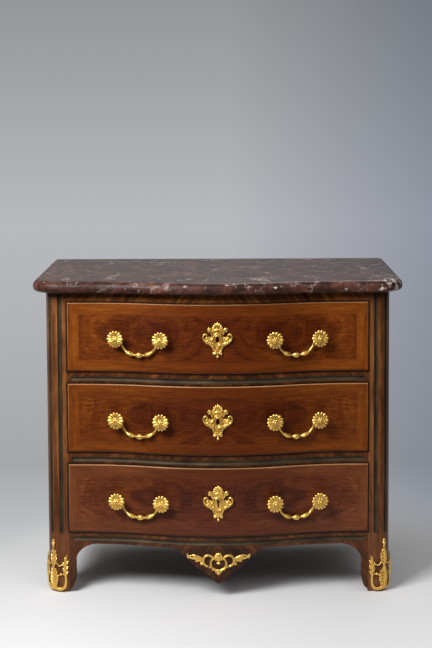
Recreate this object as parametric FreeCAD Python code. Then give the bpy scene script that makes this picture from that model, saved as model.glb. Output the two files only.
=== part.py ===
import FreeCAD, Part
import math
import os

Vector = FreeCAD.Vector
UP = Vector(0, 0, 1)

# Heights of the carcase, from the floor up
FOOT_HEIGHT = 132.0
BOTTOM_RAIL_HEIGHT = 31.0
OPENING_HEIGHT = 183.0
DIVIDER_HEIGHT = 31.0
TOP_RAIL_HEIGHT = 27.0
MARBLE_THICKNESS = 30.0

# Plan of the carcase: a serpentine front between two round-cornered posts
CASE_WIDTH = 903.0
CASE_DEPTH = 480.0
POST_WIDTH = 57.5
POST_DEPTH = 70.0
POST_RADIUS = 40.0
REAR_POST = 45.0
BOW = 46.0
BOW_END_FLAT = 38.0
RAIL_DEPTH = 50.0
SIDE_INSET = 4.0
SIDE_THICKNESS = 20.0
TONGUE = 8.0

# Tenons of the rails, and the framed back
TENON_LENGTH = 22.0
TENON_THICKNESS = 14.0
TENON_SETBACK = 18.0
TENON_SHOULDER = 5.0
BACK_FRAME_THICKNESS = 22.0
BACK_RAIL_HEIGHT = 60.0
BACK_STILE_WIDTH = 70.0
BACK_PANEL_THICKNESS = 10.0

# Marble slab
MARBLE_OVERHANG = 34.0
MARBLE_BACK_OVERHANG = 5.0
MARBLE_TOP_ROUND = 17.0
MARBLE_UNDER_ROUND = 10.0

# Inside of the carcase
RUNNER_WIDTH = 32.0
RUNNER_HEIGHT = 20.0
GUIDE_RISE = 40.0
BOARD_THICKNESS = 8.0
BOARD_TONGUE = 6.0
BOARD_DROP = 10.0
TOP_BOARD_THICKNESS = 18.0
STOP_LENGTH = 20.0
STOP_HEIGHT = 18.0

# Brass-lined flutes of the posts and rails
FLUTE_ANGLES = (3.0, 45.0, 87.0)
POST_FLUTE_RADIUS = 5.6
POST_FLUTE_DEPTH = 4.5
RAIL_FLUTE_RADIUS = 7.3
RAIL_FLUTE_DEPTH = 4.0
RAIL_FLUTE_END = 14.0
RAIL_FLUTE_SIDES = 12
DIVIDER_FLUTE_RISE = 12.5
BOTTOM_FLUTE_RISE = 14.0
LINER_THICKNESS = 1.0
GLUE_GAP = 0.1

# Feet, knee brackets and the apron drop
TOE_HEIGHT = 40.0
TOE_KNEE = 18.0
TOE_IN = 8.0
TOE_KNEE_IN = 1.6
KNEE_REACH = 75.0
KNEE_DROP = 52.0
KNEE_EAR = 16.0
KNEE_END = 9.0
KNEE_THICKNESS = 30.0
APRON_HALF_WIDTH = 126.0
APRON_DROP = 92.0
APRON_THICKNESS = 22.0

# Drawers
FRONT_GAP = 1.2
FRONT_PROUD = 4.0
FRONT_THICKNESS = 24.0
FRONT_ARRIS = 2.5
RUNNING_GAP = 0.3
BOX_HEIGHT = 160.0
BOX_SIDE = 12.0
BOX_BACK_DROP = 12.0
BOTTOM_THICKNESS = 8.0
BOTTOM_RISE = 8.0
BOTTOM_GROOVE = 6.0
DOVETAIL_LAP = 10.0
DOVETAIL_COUNT = 4
DOVETAIL_SLOPE = 1.0 / 6.0
DOVETAIL_ROOT = 0.5
DOVETAIL_START = 22.0

# Locks
LOCK_WIDTH = 90.0
LOCK_BELOW_KEYHOLE = 26.0
LOCK_DEPTH = 13.0
LOCK_SINK = 10.0
BOLT_WIDTH = 36.0
BOLT_THICKNESS = 8.0
BOLT_LENGTH = 42.0
BOLT_TRAVEL = 11.0
BOLT_SINK = 1.0
BOLT_GAP = 0.3
KEYHOLE_RADIUS = 2.7
KEYHOLE_SLOT = 3.6
KEYHOLE_HEIGHT = 19.0

# Drop handles
HANDLE_NEAR = 143.0
HANDLE_FAR = 260.5
STEM_RADIUS = 3.5
STEM_END = 6.0
BOSS_RADIUS = 7.0
PIVOT_OUT = 10.0
PIN_RADIUS = 2.5
PIN_CLEARANCE = 0.05
PIN_DEPTH = 9.0
PETAL_RADIUS = 22.5
PETAL_ROOT_RADIUS = 9.0
PETAL_COUNT = 14
PETAL_NOTCH = 0.8
PETAL_BACK = 20.0
PETAL_RIM_BACK = 24.5
PETAL_RIM_FRONT = 26.0
PETAL_CROWN = 29.5
INNER_PETAL_RADIUS = 13.5
INNER_PETAL_COUNT = 8
BUTTON_RADIUS = 5.0
BUTTON_OUT = 29.5
BAIL_HALF_WIDTH = 48.0
BAIL_DROP = 43.0
BAIL_SQUARENESS = 2.4
BAIL_KNUCKLE_RADIUS = 3.8
BAIL_FACETS = 16
# Places along half a bail, as shares of a quarter turn from its middle, with the rod's radius there
BAIL_TURNING = ((0.0, 7.4), (0.045, 6.3), (0.1, 2.6), (0.16, 2.8), (0.25, 4.7), (0.36, 5.2), (0.55, 3.2),
                (0.75, 3.0), (1.0, 3.0))

# Gilt mounts
MOUNT_THICKNESS = 3.0
MOUNT_RELIEF = 2.0
ESCUTCHEON_WIDTH = 82.0
ESCUTCHEON_HEIGHT = 97.0
APRON_MOUNT_WIDTH = 166.0
APRON_MOUNT_HEIGHT = 65.0
APRON_MOUNT_MIDDLE = 93.0
SABOT_THICKNESS = 3.5
SABOT_FLOOR_GAP = 4.0
SABOT_HEIGHT = 140.0
SABOT_HALF_WIDTH = 38.0

# Worked-out places
HALF_CASE = CASE_WIDTH / 2
HALF_OPENING = HALF_CASE - POST_WIDTH
BOW_HALF = HALF_OPENING - BOW_END_FLAT
BOW_RADIUS = (BOW_HALF ** 2 + BOW ** 2) / (4 * BOW)
BOW_ANGLE = math.asin(BOW_HALF / 2 / BOW_RADIUS)
TOTAL_DEPTH = MARBLE_OVERHANG + BOW + CASE_DEPTH + MARBLE_BACK_OVERHANG
FRONT = -TOTAL_DEPTH / 2 + MARBLE_OVERHANG + BOW
BACK = FRONT + CASE_DEPTH
POST_BACK = FRONT + POST_DEPTH
REAR_POST_FRONT = BACK - REAR_POST
RAIL_BACK = FRONT + RAIL_DEPTH
BACK_FRAME_FRONT = BACK - BACK_FRAME_THICKNESS
FLOORS = [FOOT_HEIGHT + BOTTOM_RAIL_HEIGHT + i * (OPENING_HEIGHT + DIVIDER_HEIGHT) for i in range(3)]
CASE_TOP = FLOORS[2] + OPENING_HEIGHT + TOP_RAIL_HEIGHT
SIDE_OUT = HALF_CASE - SIDE_INSET
SIDE_IN = SIDE_OUT - SIDE_THICKNESS
BOX_HALF = HALF_OPENING - FRONT_GAP
BOX_BACK = BACK_FRAME_FRONT - STOP_LENGTH - RUNNING_GAP
DRAWERS = ("bottom", "middle", "top")


def block(x0, x1, y0, y1, z0, z1):
    return Part.makeBox(x1 - x0, y1 - y0, z1 - z0, Vector(x0, y0, z0))


def mirrored(shape):
    return shape.mirror(Vector(0, 0, 0), Vector(1, 0, 0))


def pair(shape):
    return [shape, mirrored(shape)]


def export(name, *solids):
    shape = solids[0] if len(solids) == 1 else Part.makeCompound(list(solids))
    shape.exportStep(os.path.join("parts", name + ".step"))


def outline_edges(start, steps):
    # A step is one point for a line, two for an arc through the first, three for a cubic curve
    edges = []
    here = start
    for step in steps:
        if isinstance(step, Vector):
            edge = Part.LineSegment(here, step).toShape()
            end = step
        elif len(step) == 2:
            edge = Part.Arc(here, step[0], step[1]).toShape()
            end = step[1]
        else:
            curve = Part.BezierCurve()
            curve.setPoles([here] + list(step))
            edge = curve.toShape()
            end = step[2]
        edges.append(edge)
        here = end
    return edges


def outline_prism(start, steps, along):
    face = Part.Face(Part.Wire(outline_edges(start, steps)))
    return face.extrude(along)


def upright(x, z):
    return Vector(x, 0, z)


# The serpentine front: three tangent arcs between two short flats, at any parallel offset forward

def bow_y(x, offset):
    reach = abs(x)
    if reach <= (BOW_RADIUS + offset) * math.sin(BOW_ANGLE):
        return FRONT - BOW + BOW_RADIUS - math.sqrt((BOW_RADIUS + offset) ** 2 - reach ** 2)
    if reach < BOW_HALF:
        return FRONT - BOW_RADIUS + math.sqrt((BOW_RADIUS - offset) ** 2 - (BOW_HALF - reach) ** 2)
    return FRONT - offset


def bow_steps(offset, reach):
    turn = (BOW_RADIUS + offset) * math.sin(BOW_ANGLE)
    hollow = BOW_HALF - (BOW_RADIUS - offset) * math.sin(BOW_ANGLE / 2)

    def at(x):
        return Vector(x, bow_y(x, offset), 0)

    steps = [at(-BOW_HALF), (at(-hollow), at(-turn)), (at(0), at(turn)), (at(hollow), at(BOW_HALF)),
             at(reach)]
    return at(-reach), steps


def bow_band(front, back, reach, z0, z1):
    start, steps = bow_steps(front, reach)
    back_start, back_steps = bow_steps(back, reach)
    front_edges = outline_edges(start, steps)
    back_edges = outline_edges(back_start, back_steps)
    ends = [Part.LineSegment(start, back_start).toShape()]
    ends.append(Part.LineSegment(steps[-1], back_steps[-1]).toShape())
    wire = Part.Wire(Part.__sortEdges__(front_edges + back_edges + ends))
    band = Part.Face(wire).extrude(UP * (z1 - z0))
    band.translate(UP * z0)
    return band


def bow_board(front, back_y, reach, z0, z1):
    start, steps = bow_steps(front, reach)
    steps = steps + [Vector(reach, back_y, 0), Vector(-reach, back_y, 0), start]
    board = outline_prism(start, steps, UP * (z1 - z0))
    board.translate(UP * z0)
    return board


# Right front post: round outer corner, three flutes, and a foot drawn in at the toe

def post_section(z, swell, inner):
    centre = Vector(HALF_CASE - POST_RADIUS, FRONT + POST_RADIUS, z)
    radius = POST_RADIUS + swell
    diagonal = radius / math.sqrt(2)
    start = Vector(inner, FRONT - swell, z)
    round_start = centre + Vector(0, -radius, 0)
    round_middle = centre + Vector(diagonal, -diagonal, 0)
    round_end = centre + Vector(radius, 0, 0)
    outer_back = Vector(HALF_CASE + swell, POST_BACK, z)
    steps = [round_start, (round_middle, round_end), outer_back, Vector(inner, POST_BACK, z), start]
    return Part.Wire(outline_edges(start, steps))


def toe(swell, inner):
    floor = post_section(0, swell - TOE_IN, inner)
    knee = post_section(TOE_KNEE, swell - TOE_KNEE_IN, inner)
    ankle = post_section(TOE_HEIGHT, swell, inner)
    return Part.makeLoft([floor, knee, ankle], True)


def leg(swell, top):
    shaft = Part.Face(post_section(TOE_HEIGHT, swell, HALF_OPENING)).extrude(UP * (top - TOE_HEIGHT))
    return shaft.fuse(toe(swell, HALF_OPENING)).removeSplitter()


def post_flute(angle, radius):
    reach = POST_RADIUS + POST_FLUTE_RADIUS - POST_FLUTE_DEPTH
    turn = math.radians(angle)
    foot = Vector(HALF_CASE - POST_RADIUS + reach * math.sin(turn), FRONT + POST_RADIUS - reach * math.cos(turn),
                  FLOORS[0])
    channel = Part.makeCylinder(radius, CASE_TOP - FLOORS[0], foot)
    return channel.fuse(Part.makeSphere(radius, foot))


def rail_flute(z, radius):
    # The channel's round is made of many flat sides, so that thin brass in it keeps its thickness when meshed
    reach = HALF_OPENING - RAIL_FLUTE_END
    start, steps = bow_steps(RAIL_FLUTE_RADIUS - RAIL_FLUTE_DEPTH, reach)
    spine = Part.Wire(outline_edges(start, steps))
    turns = [math.pi * (side / RAIL_FLUTE_SIDES - 0.5) for side in range(RAIL_FLUTE_SIDES + 1)]
    half = [Vector(0, radius * math.cos(turn), radius * math.sin(turn)) for turn in turns]
    rest = [Vector(0, -corner.y, corner.z) for corner in reversed(half[:-1])]
    section = Part.Face(Part.makePolygon(half + rest))
    section.translate(start)
    channel = spine.makePipe(section)
    round_end = Part.Face(Part.makePolygon(half + half[:1])).revolve(Vector(0, 0, 0), UP, 360)
    for end in (start, steps[-1]):
        ball = round_end.copy()
        ball.translate(end)
        channel = channel.fuse(ball)
    channel.translate(UP * z)
    return channel


def front_rail(z0, height):
    rail = bow_board(0, RAIL_BACK, HALF_OPENING, z0, z0 + height)
    tenon = block(HALF_OPENING, HALF_OPENING + TENON_LENGTH, FRONT + TENON_SETBACK,
                  FRONT + TENON_SETBACK + TENON_THICKNESS, z0 + TENON_SHOULDER, z0 + height - TENON_SHOULDER)
    return rail.fuse(pair(tenon)).removeSplitter()


rails = [front_rail(FOOT_HEIGHT, BOTTOM_RAIL_HEIGHT)]
rails += [front_rail(floor - DIVIDER_HEIGHT, DIVIDER_HEIGHT) for floor in FLOORS[1:]]
rails.append(front_rail(CASE_TOP - TOP_RAIL_HEIGHT, TOP_RAIL_HEIGHT))

# Sides, and the framed back with two fielded panels

side_panel = block(SIDE_IN, SIDE_OUT, POST_BACK - TONGUE, REAR_POST_FRONT + TONGUE, FOOT_HEIGHT, CASE_TOP)

REAR_INNER = HALF_CASE - REAR_POST
back_tenon_y = BACK_FRAME_FRONT + (BACK_FRAME_THICKNESS - BACK_PANEL_THICKNESS) / 2


def back_rail(z0):
    rail = block(-REAR_INNER, REAR_INNER, BACK_FRAME_FRONT, BACK, z0, z0 + BACK_RAIL_HEIGHT)
    tenon = block(REAR_INNER, REAR_INNER + TENON_LENGTH, back_tenon_y, back_tenon_y + BACK_PANEL_THICKNESS,
                  z0 + TENON_SHOULDER, z0 + BACK_RAIL_HEIGHT - TENON_SHOULDER)
    return rail.fuse(pair(tenon)).removeSplitter()


back_low = FOOT_HEIGHT + BACK_RAIL_HEIGHT
back_high = CASE_TOP - BACK_RAIL_HEIGHT
half_stile = BACK_STILE_WIDTH / 2
back_rails = [back_rail(FOOT_HEIGHT), back_rail(back_high)]
back_stile = block(-half_stile, half_stile, BACK_FRAME_FRONT, BACK, back_low, back_high)
back_panel = block(half_stile - TONGUE, REAR_INNER + TONGUE, back_tenon_y, back_tenon_y + BACK_PANEL_THICKNESS,
                   back_low - TONGUE, back_high + TONGUE)
back_panels = pair(back_panel)
rear_post = block(REAR_INNER, HALF_CASE, REAR_POST_FRONT, BACK, 0, CASE_TOP)
rear_post = rear_post.cut([side_panel, back_panel] + back_rails)
back_frame = [piece.cut(back_panels) for piece in back_rails + [back_stile]]

# Runners, guides, dust boards and stops inside the case

runners = []
guides = []
stops = []
boards = []
for floor in FLOORS:
    runner = block(HALF_OPENING - RUNNER_WIDTH, HALF_OPENING, RAIL_BACK, BACK_FRAME_FRONT,
                   floor - RUNNER_HEIGHT, floor)
    guide = block(HALF_OPENING, SIDE_IN, POST_BACK, REAR_POST_FRONT,
                  floor - RUNNER_HEIGHT, floor + GUIDE_RISE)
    stop = block(BOX_HALF - BOX_SIDE, BOX_HALF, BACK_FRAME_FRONT - STOP_LENGTH, BACK_FRAME_FRONT,
                 floor, floor + STOP_HEIGHT)
    half_board = HALF_OPENING - RUNNER_WIDTH + BOARD_TONGUE
    board = block(-half_board, half_board, RAIL_BACK - BOARD_TONGUE, BACK_FRAME_FRONT,
                  floor - BOARD_DROP - BOARD_THICKNESS, floor - BOARD_DROP)
    runners += pair(runner.cut(board))
    guides += pair(guide)
    stops += pair(stop)
    boards.append(board)
top_board = block(-HALF_OPENING, HALF_OPENING, RAIL_BACK, BACK_FRAME_FRONT,
                  CASE_TOP - TOP_BOARD_THICKNESS, CASE_TOP)

# Flutes are cut from the rails and posts, and lined with thin brass channels

flute_heights = [FOOT_HEIGHT + BOTTOM_FLUTE_RISE]
flute_heights += [floor - DIVIDER_HEIGHT + DIVIDER_FLUTE_RISE for floor in FLOORS[1:]]
rail_liners = []
for place, z in enumerate(flute_heights):
    liner = rails[place].common(rail_flute(z, RAIL_FLUTE_RADIUS - GLUE_GAP))
    rail_liners.append(liner.cut(rail_flute(z, RAIL_FLUTE_RADIUS - GLUE_GAP - LINER_THICKNESS)))
    rails[place] = rails[place].cut(rail_flute(z, RAIL_FLUTE_RADIUS))

front_post = leg(0, CASE_TOP)
post_liners = []
for angle in FLUTE_ANGLES:
    liner = front_post.common(post_flute(angle, POST_FLUTE_RADIUS - GLUE_GAP))
    post_liners.append(liner.cut(post_flute(angle, POST_FLUTE_RADIUS - GLUE_GAP - LINER_THICKNESS)))
front_post = front_post.cut([post_flute(angle, POST_FLUTE_RADIUS) for angle in FLUTE_ANGLES])
front_post = front_post.cut(rails + [side_panel])

# Knee brackets: an ear down the leg that sweeps into the underside of the rail

def knee_bracket(thickness):
    sweep = 0.5523
    shoulder = FOOT_HEIGHT - KNEE_DROP
    corner = upright(KNEE_REACH, FOOT_HEIGHT)
    ear = upright(KNEE_EAR, shoulder)
    curve = (upright(KNEE_REACH - sweep * (KNEE_REACH - KNEE_EAR), FOOT_HEIGHT),
             upright(KNEE_EAR, shoulder + sweep * KNEE_DROP), ear)
    heel = (upright(KNEE_EAR, (KNEE_END + TOE_HEIGHT) / 2), upright(KNEE_EAR / 2, KNEE_END),
            upright(0, KNEE_END))
    steps = [corner, curve, upright(KNEE_EAR, TOE_HEIGHT), heel, upright(0, FOOT_HEIGHT)]
    return outline_prism(upright(0, FOOT_HEIGHT), steps, Vector(0, thickness, 0))


front_knee = mirrored(knee_bracket(BOW + KNEE_THICKNESS))
front_knee.translate(Vector(HALF_OPENING, FRONT - BOW, 0))
front_knee = front_knee.common(bow_band(0, -KNEE_THICKNESS, HALF_OPENING, 0, FOOT_HEIGHT))
below_ankle = block(0, HALF_CASE, FRONT - BOW, POST_BACK, 0, TOE_HEIGHT)
drawn_in = front_knee.common(toe(0, HALF_OPENING - KNEE_EAR))
front_knee = front_knee.cut(below_ankle).fuse(drawn_in).removeSplitter()

side_knee = knee_bracket(SIDE_THICKNESS)
side_knee.rotate(Vector(0, 0, 0), UP, 90)
side_knee.translate(Vector(SIDE_OUT, POST_BACK, 0))
side_middle = (POST_BACK + REAR_POST_FRONT) / 2
rear_knee = side_knee.mirror(Vector(0, side_middle, 0), Vector(0, 1, 0))
side_knees = pair(side_knee) + pair(rear_knee)

# Apron drop under the middle of the bottom rail: ogee sides to a rounded point

apron_low = FOOT_HEIGHT - APRON_DROP
apron_steps = [
    (upright(0.72 * APRON_HALF_WIDTH, FOOT_HEIGHT - 0.02 * APRON_DROP),
     upright(0.66 * APRON_HALF_WIDTH, FOOT_HEIGHT - 0.42 * APRON_DROP),
     upright(0.34 * APRON_HALF_WIDTH, FOOT_HEIGHT - 0.64 * APRON_DROP)),
    (upright(0.17 * APRON_HALF_WIDTH, FOOT_HEIGHT - 0.76 * APRON_DROP),
     upright(0.1 * APRON_HALF_WIDTH, FOOT_HEIGHT - 0.96 * APRON_DROP), upright(0, apron_low)),
    upright(0, FOOT_HEIGHT), upright(APRON_HALF_WIDTH, FOOT_HEIGHT)]
apron = outline_prism(upright(APRON_HALF_WIDTH, FOOT_HEIGHT), apron_steps, Vector(0, -TOTAL_DEPTH, 0))
apron = apron.fuse(mirrored(apron)).removeSplitter()
apron = apron.common(bow_band(0, -APRON_THICKNESS, HALF_OPENING, 0, FOOT_HEIGHT))

# Marble slab: the case's own plan carried out to the overhang, with a rounded edge

def marble_slab():
    side = HALF_CASE + MARBLE_OVERHANG
    centre = Vector(HALF_CASE - POST_RADIUS, FRONT + POST_RADIUS, 0)
    radius = POST_RADIUS + MARBLE_OVERHANG
    diagonal = radius / math.sqrt(2)
    flat_end, steps = bow_steps(MARBLE_OVERHANG, centre.x)
    back = BACK + MARBLE_BACK_OVERHANG
    steps = steps + [
        (centre + Vector(diagonal, -diagonal, 0), centre + Vector(radius, 0, 0)),
        Vector(side, back, 0), Vector(-side, back, 0), Vector(-side, centre.y, 0),
        (Vector(-centre.x - diagonal, centre.y - diagonal, 0), flat_end)]
    slab = outline_prism(flat_end, steps, UP * MARBLE_THICKNESS)
    slab.translate(UP * CASE_TOP)
    for level, radius in ((CASE_TOP + MARBLE_THICKNESS, MARBLE_TOP_ROUND), (CASE_TOP, MARBLE_UNDER_ROUND)):
        rim = [edge for edge in slab.Edges
               if abs(edge.BoundBox.ZMin - level) < 0.01 and abs(edge.BoundBox.ZMax - level) < 0.01
               and edge.CenterOfMass.y < back - 1]
        slab = slab.makeFillet(radius, rim)
    return slab


# Drawers

def drawer_front(z0, z1):
    front = bow_band(FRONT_PROUD, FRONT_PROUD - FRONT_THICKNESS, BOX_HALF, z0, z1)
    arris = []
    for edge in front.Edges:
        middle = edge.valueAt((edge.FirstParameter + edge.LastParameter) / 2)
        on_face = abs(middle.y - bow_y(middle.x, FRONT_PROUD)) < 0.01
        level = edge.BoundBox.ZLength < 0.01
        if on_face and (level or abs(middle.x) > BOX_HALF - 0.01):
            arris.append(edge)
    return front.makeFillet(FRONT_ARRIS, arris)


def dovetails(y_root, y_end, z0, z1):
    # Tails on the end of a right drawer side, wider at their ends than at their roots
    pitch = (z1 - z0) / DOVETAIL_COUNT
    half_root = DOVETAIL_ROOT * pitch / 2
    half_end = half_root + abs(y_end - y_root) * DOVETAIL_SLOPE
    tails = []
    for place in range(DOVETAIL_COUNT):
        z = z0 + (place + 0.5) * pitch
        inner = BOX_HALF - BOX_SIDE
        start = Vector(inner, y_root, z - half_root)
        steps = [Vector(inner, y_end, z - half_end), Vector(inner, y_end, z + half_end),
                 Vector(inner, y_root, z + half_root), start]
        tails.append(outline_prism(start, steps, Vector(BOX_SIDE, 0, 0)))
    return tails


def keyhole(z, y0, y1):
    bow = Part.makeCylinder(KEYHOLE_RADIUS, y1 - y0, Vector(0, y0, z + KEYHOLE_HEIGHT / 2 - KEYHOLE_RADIUS),
                            Vector(0, 1, 0))
    half_slot = KEYHOLE_SLOT / 2
    slot = block(-half_slot, half_slot, y0, y1,
                 z - KEYHOLE_HEIGHT / 2, z + KEYHOLE_HEIGHT / 2 - KEYHOLE_RADIUS)
    return bow.fuse(slot)


# Gilt mounts are upright outlines, pressed through onto the bowed front or round the corner of a foot

ORNAMENT_REACH = BOW + MARBLE_OVERHANG


def pressed(face):
    return face.extrude(Vector(0, -ORNAMENT_REACH, 0))


def disc(x, z, radius):
    return pressed(Part.Face(Part.Wire(Part.makeCircle(radius, upright(x, z), Vector(0, 1, 0)))))


def ring(x, z, radius, hole):
    return disc(x, z, radius).cut(disc(x, z, hole))


def oval(x, z, half_width, half_height):
    squash = FreeCAD.Matrix(half_width, 0, 0, x, 0, 1, 0, 0, 0, 0, half_height, z)
    shape = disc(0, 0, 1).transformGeometry(squash)
    return shape


def leaf(x0, z0, x1, z1, bulge):
    root = upright(x0, z0)
    tip = upright(x1, z1)
    middle = (root + tip) * 0.5
    side = Vector(-(z1 - z0), 0, x1 - x0).normalize()
    return pressed(Part.Face(Part.Wire(outline_edges(root, [(middle + side * bulge, tip),
                                                            (middle - side * bulge, root)]))))


def plaque(points):
    # A plate that is the same on both sides of its middle, given by the points of its right half
    right = [upright(*point) for point in points]
    left = [upright(-x, z) for x, z in reversed(points) if x > 0]
    corners = right + left
    return pressed(Part.Face(Part.makePolygon(corners + corners[:1])))


def laid(pieces, back, front, z):
    plate = pieces[0].fuse(pieces[1:]) if len(pieces) > 1 else pieces[0]
    plate.translate(Vector(0, FRONT, z))
    low = plate.BoundBox.ZMin - MOUNT_THICKNESS
    high = plate.BoundBox.ZMax + MOUNT_THICKNESS
    return plate.common(bow_band(front, back, HALF_OPENING, low, high))


def escutcheon(z):
    # Lobed crown, two scrolled ears, a waisted shield with a raised oval rim, and a trefoil drop
    w = ESCUTCHEON_WIDTH / 2
    h = ESCUTCHEON_HEIGHT / 2
    shield = plaque([(0, 0.5 * h), (0.5 * w, 0.45 * h), (0.58 * w, 0.15 * h), (0.82 * w, 0), (0.6 * w, -0.3 * h),
                     (0.24 * w, -0.62 * h), (0, -0.66 * h)])
    lobe = 0.17 * h
    crown = [disc(0.42 * w * math.sin(turn), 0.42 * h + 0.41 * h * math.cos(turn), lobe)
             for turn in (math.radians(step) for step in (-75, -38, 0, 38, 75))]
    ear = 0.2 * w
    ears = [ring(x, 0.03 * h, ear, 0.4 * ear) for x in (-w + ear, w - ear)]
    drop = 0.13 * h
    trefoil = [disc(x, -0.74 * h, drop) for x in (-1.2 * drop, 1.2 * drop)]
    trefoil += [disc(0, -0.8 * h, drop), disc(0, -h + 0.6 * drop, 0.6 * drop)]
    face = FRONT_PROUD + MOUNT_THICKNESS
    plate = laid([shield] + crown + ears + trefoil, FRONT_PROUD, face, z)
    rim = oval(0, 0, 0.37 * w, 0.45 * h).cut(oval(0, 0, 0.27 * w, 0.36 * h))
    plate = plate.fuse(laid([rim], FRONT_PROUD, face + MOUNT_RELIEF, z))
    return plate.cut(keyhole(z, FRONT - TOTAL_DEPTH, FRONT))


def apron_mount():
    # Palmette over an open heart with a hanging bud, two C-scrolls, and a sprig of leaves on each side
    w = APRON_MOUNT_WIDTH / 2
    h = APRON_MOUNT_HEIGHT / 2
    heart = oval(0, -0.1 * h, 0.29 * w, 0.62 * h).cut(oval(0, -0.12 * h, 0.19 * w, 0.42 * h))
    bud = oval(0, 0.2 * h, 0.08 * w, 0.3 * h)
    palmette = plaque([(0, h), (0.07 * w, 0.66 * h), (0.15 * w, 0.4 * h), (0, 0.2 * h)])
    point = plaque([(0, -0.4 * h), (0.12 * w, -0.6 * h), (0, -h)])
    pieces = [heart, bud, palmette, point]
    for side in (-1, 1):
        pieces.append(ring(side * 0.36 * w, 0.22 * h, 0.45 * h, 0.24 * h))
        pieces.append(leaf(side * 0.5 * w, 0.3 * h, side * w, 0.52 * h, 0.2 * h))
        pieces.append(leaf(side * 0.46 * w, 0.1 * h, side * 0.74 * w, 0, 0.14 * h))
        pieces.append(disc(side * 0.5 * w, -0.12 * h, 0.12 * h))
    return laid(pieces, 0, MOUNT_THICKNESS, APRON_MOUNT_MIDDLE)


def sabot():
    # Openwork shoe round the corner of the foot: a tall leafy stalk, an arm on each face, and a bottom band
    w = SABOT_HALF_WIDTH
    h = SABOT_HEIGHT
    stalk = plaque([(0, h), (0.13 * w, 0.93 * h), (0.1 * w, 0.86 * h), (0.28 * w, 0.78 * h), (0.28 * w, 0.62 * h),
                    (0.16 * w, 0.5 * h), (0.42 * w, 0.36 * h), (0.42 * w, 0.16 * h), (0.5 * w, 0.04 * h), (0, 0)])
    band = plaque([(0, 0.11 * h), (w, 0.11 * h), (w, 0), (0, 0)])
    pieces = [stalk, band]
    for side in (-1, 1):
        pieces.append(leaf(side * 0.84 * w, 0.02 * h, side * 0.95 * w, 0.7 * h, 0.14 * w))
        pieces.append(ring(side * 0.54 * w, 0.54 * h, 0.36 * w, 0.25 * w))
        pieces.append(ring(side * 0.62 * w, 0.33 * h, 0.25 * w, 0.13 * w))
    shoe = pieces[0].fuse(pieces[1:])
    shoe.rotate(Vector(0, 0, 0), UP, 45)
    shoe.translate(Vector(HALF_CASE - POST_RADIUS, FRONT + POST_RADIUS, SABOT_FLOOR_GAP))
    above = SABOT_FLOOR_GAP + SABOT_HEIGHT + TOE_HEIGHT
    shell = leg(GLUE_GAP + SABOT_THICKNESS, above).cut(leg(GLUE_GAP, above))
    return shell.common(shoe)


# Drop handles, made in their own frame: the pins lie on X, the drawer's face at Y zero, its front at -Y

near = Vector(HANDLE_NEAR, bow_y(HANDLE_NEAR, FRONT_PROUD), 0)
far = Vector(HANDLE_FAR, bow_y(HANDLE_FAR, FRONT_PROUD), 0)
handle_middle = (near + far) * 0.5
handle_half = (far - near).Length / 2
handle_turn = math.degrees(math.atan2(far.y - near.y, far.x - near.x))


def at_handle(shape, z):
    placed = shape.copy()
    placed.rotate(Vector(0, 0, 0), UP, handle_turn)
    placed.translate(handle_middle + UP * z)
    return placed


def star(count, radius, out):
    corners = []
    for place in range(2 * count):
        turn = math.pi * place / count
        reach = radius * PETAL_NOTCH if place % 2 else radius
        corners.append(Vector(reach * math.sin(turn), -out, reach * math.cos(turn)))
    return Part.makePolygon(corners + corners[:1])


def flower(count, tiers):
    # Ridged petals: pointed stars joined from back to front, each tier a radius and a distance out
    return Part.makeLoft([star(count, *tier) for tier in tiers], True, True)


def rosette_head():
    boss = Part.makeCylinder(BOSS_RADIUS, PETAL_RIM_FRONT + BOSS_RADIUS, Vector(0, BOSS_RADIUS, 0),
                             Vector(0, -1, 0))
    petals = flower(PETAL_COUNT, ((PETAL_ROOT_RADIUS, PETAL_BACK), (PETAL_RADIUS, PETAL_RIM_BACK),
                                  (PETAL_RADIUS, PETAL_RIM_FRONT), (INNER_PETAL_RADIUS, PETAL_CROWN)))
    inner = flower(INNER_PETAL_COUNT, ((INNER_PETAL_RADIUS, PETAL_RIM_FRONT), (INNER_PETAL_RADIUS, PETAL_CROWN),
                                       (BUTTON_RADIUS, PETAL_CROWN + BUTTON_RADIUS / 2)))
    button = Part.makeSphere(BUTTON_RADIUS, Vector(0, -BUTTON_OUT, 0))
    return boss.fuse([petals, inner, button]).removeSplitter()


def pin(radius, inner, depth):
    length = handle_half - BOSS_RADIUS + depth - inner
    return Part.makeCylinder(radius, length, Vector(inner, -PIVOT_OUT, 0), Vector(1, 0, 0))


def rosettes(z, blank):
    # Two heads seated on the drawer's face, each with a stem through the wood
    head = rosette_head()
    head.translate(Vector(handle_half, 0, 0))
    head = head.cut(pin(PIN_RADIUS + PIN_CLEARANCE, BAIL_HALF_WIDTH, PIN_DEPTH + RUNNING_GAP))
    solids = []
    for side, shape in zip((1, -1), pair(head)):
        stem = stem_rod(side, STEM_RADIUS)
        solids.append(at_handle(shape, z).cut(blank).fuse(at_handle(stem, z)))
    return solids


def stem_rod(side, radius):
    length = FRONT_THICKNESS + STEM_END + BOSS_RADIUS
    return Part.makeCylinder(radius, length, Vector(side * handle_half, -BOSS_RADIUS / 2, 0), Vector(0, 1, 0))


def bail_point(share):
    turn = math.pi / 2 * abs(share)
    power = 2 / BAIL_SQUARENESS
    x = BAIL_HALF_WIDTH * math.sin(turn) ** power
    return Vector(math.copysign(x, share), -PIVOT_OUT, -BAIL_DROP * max(math.cos(turn), 0) ** power)


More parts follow.
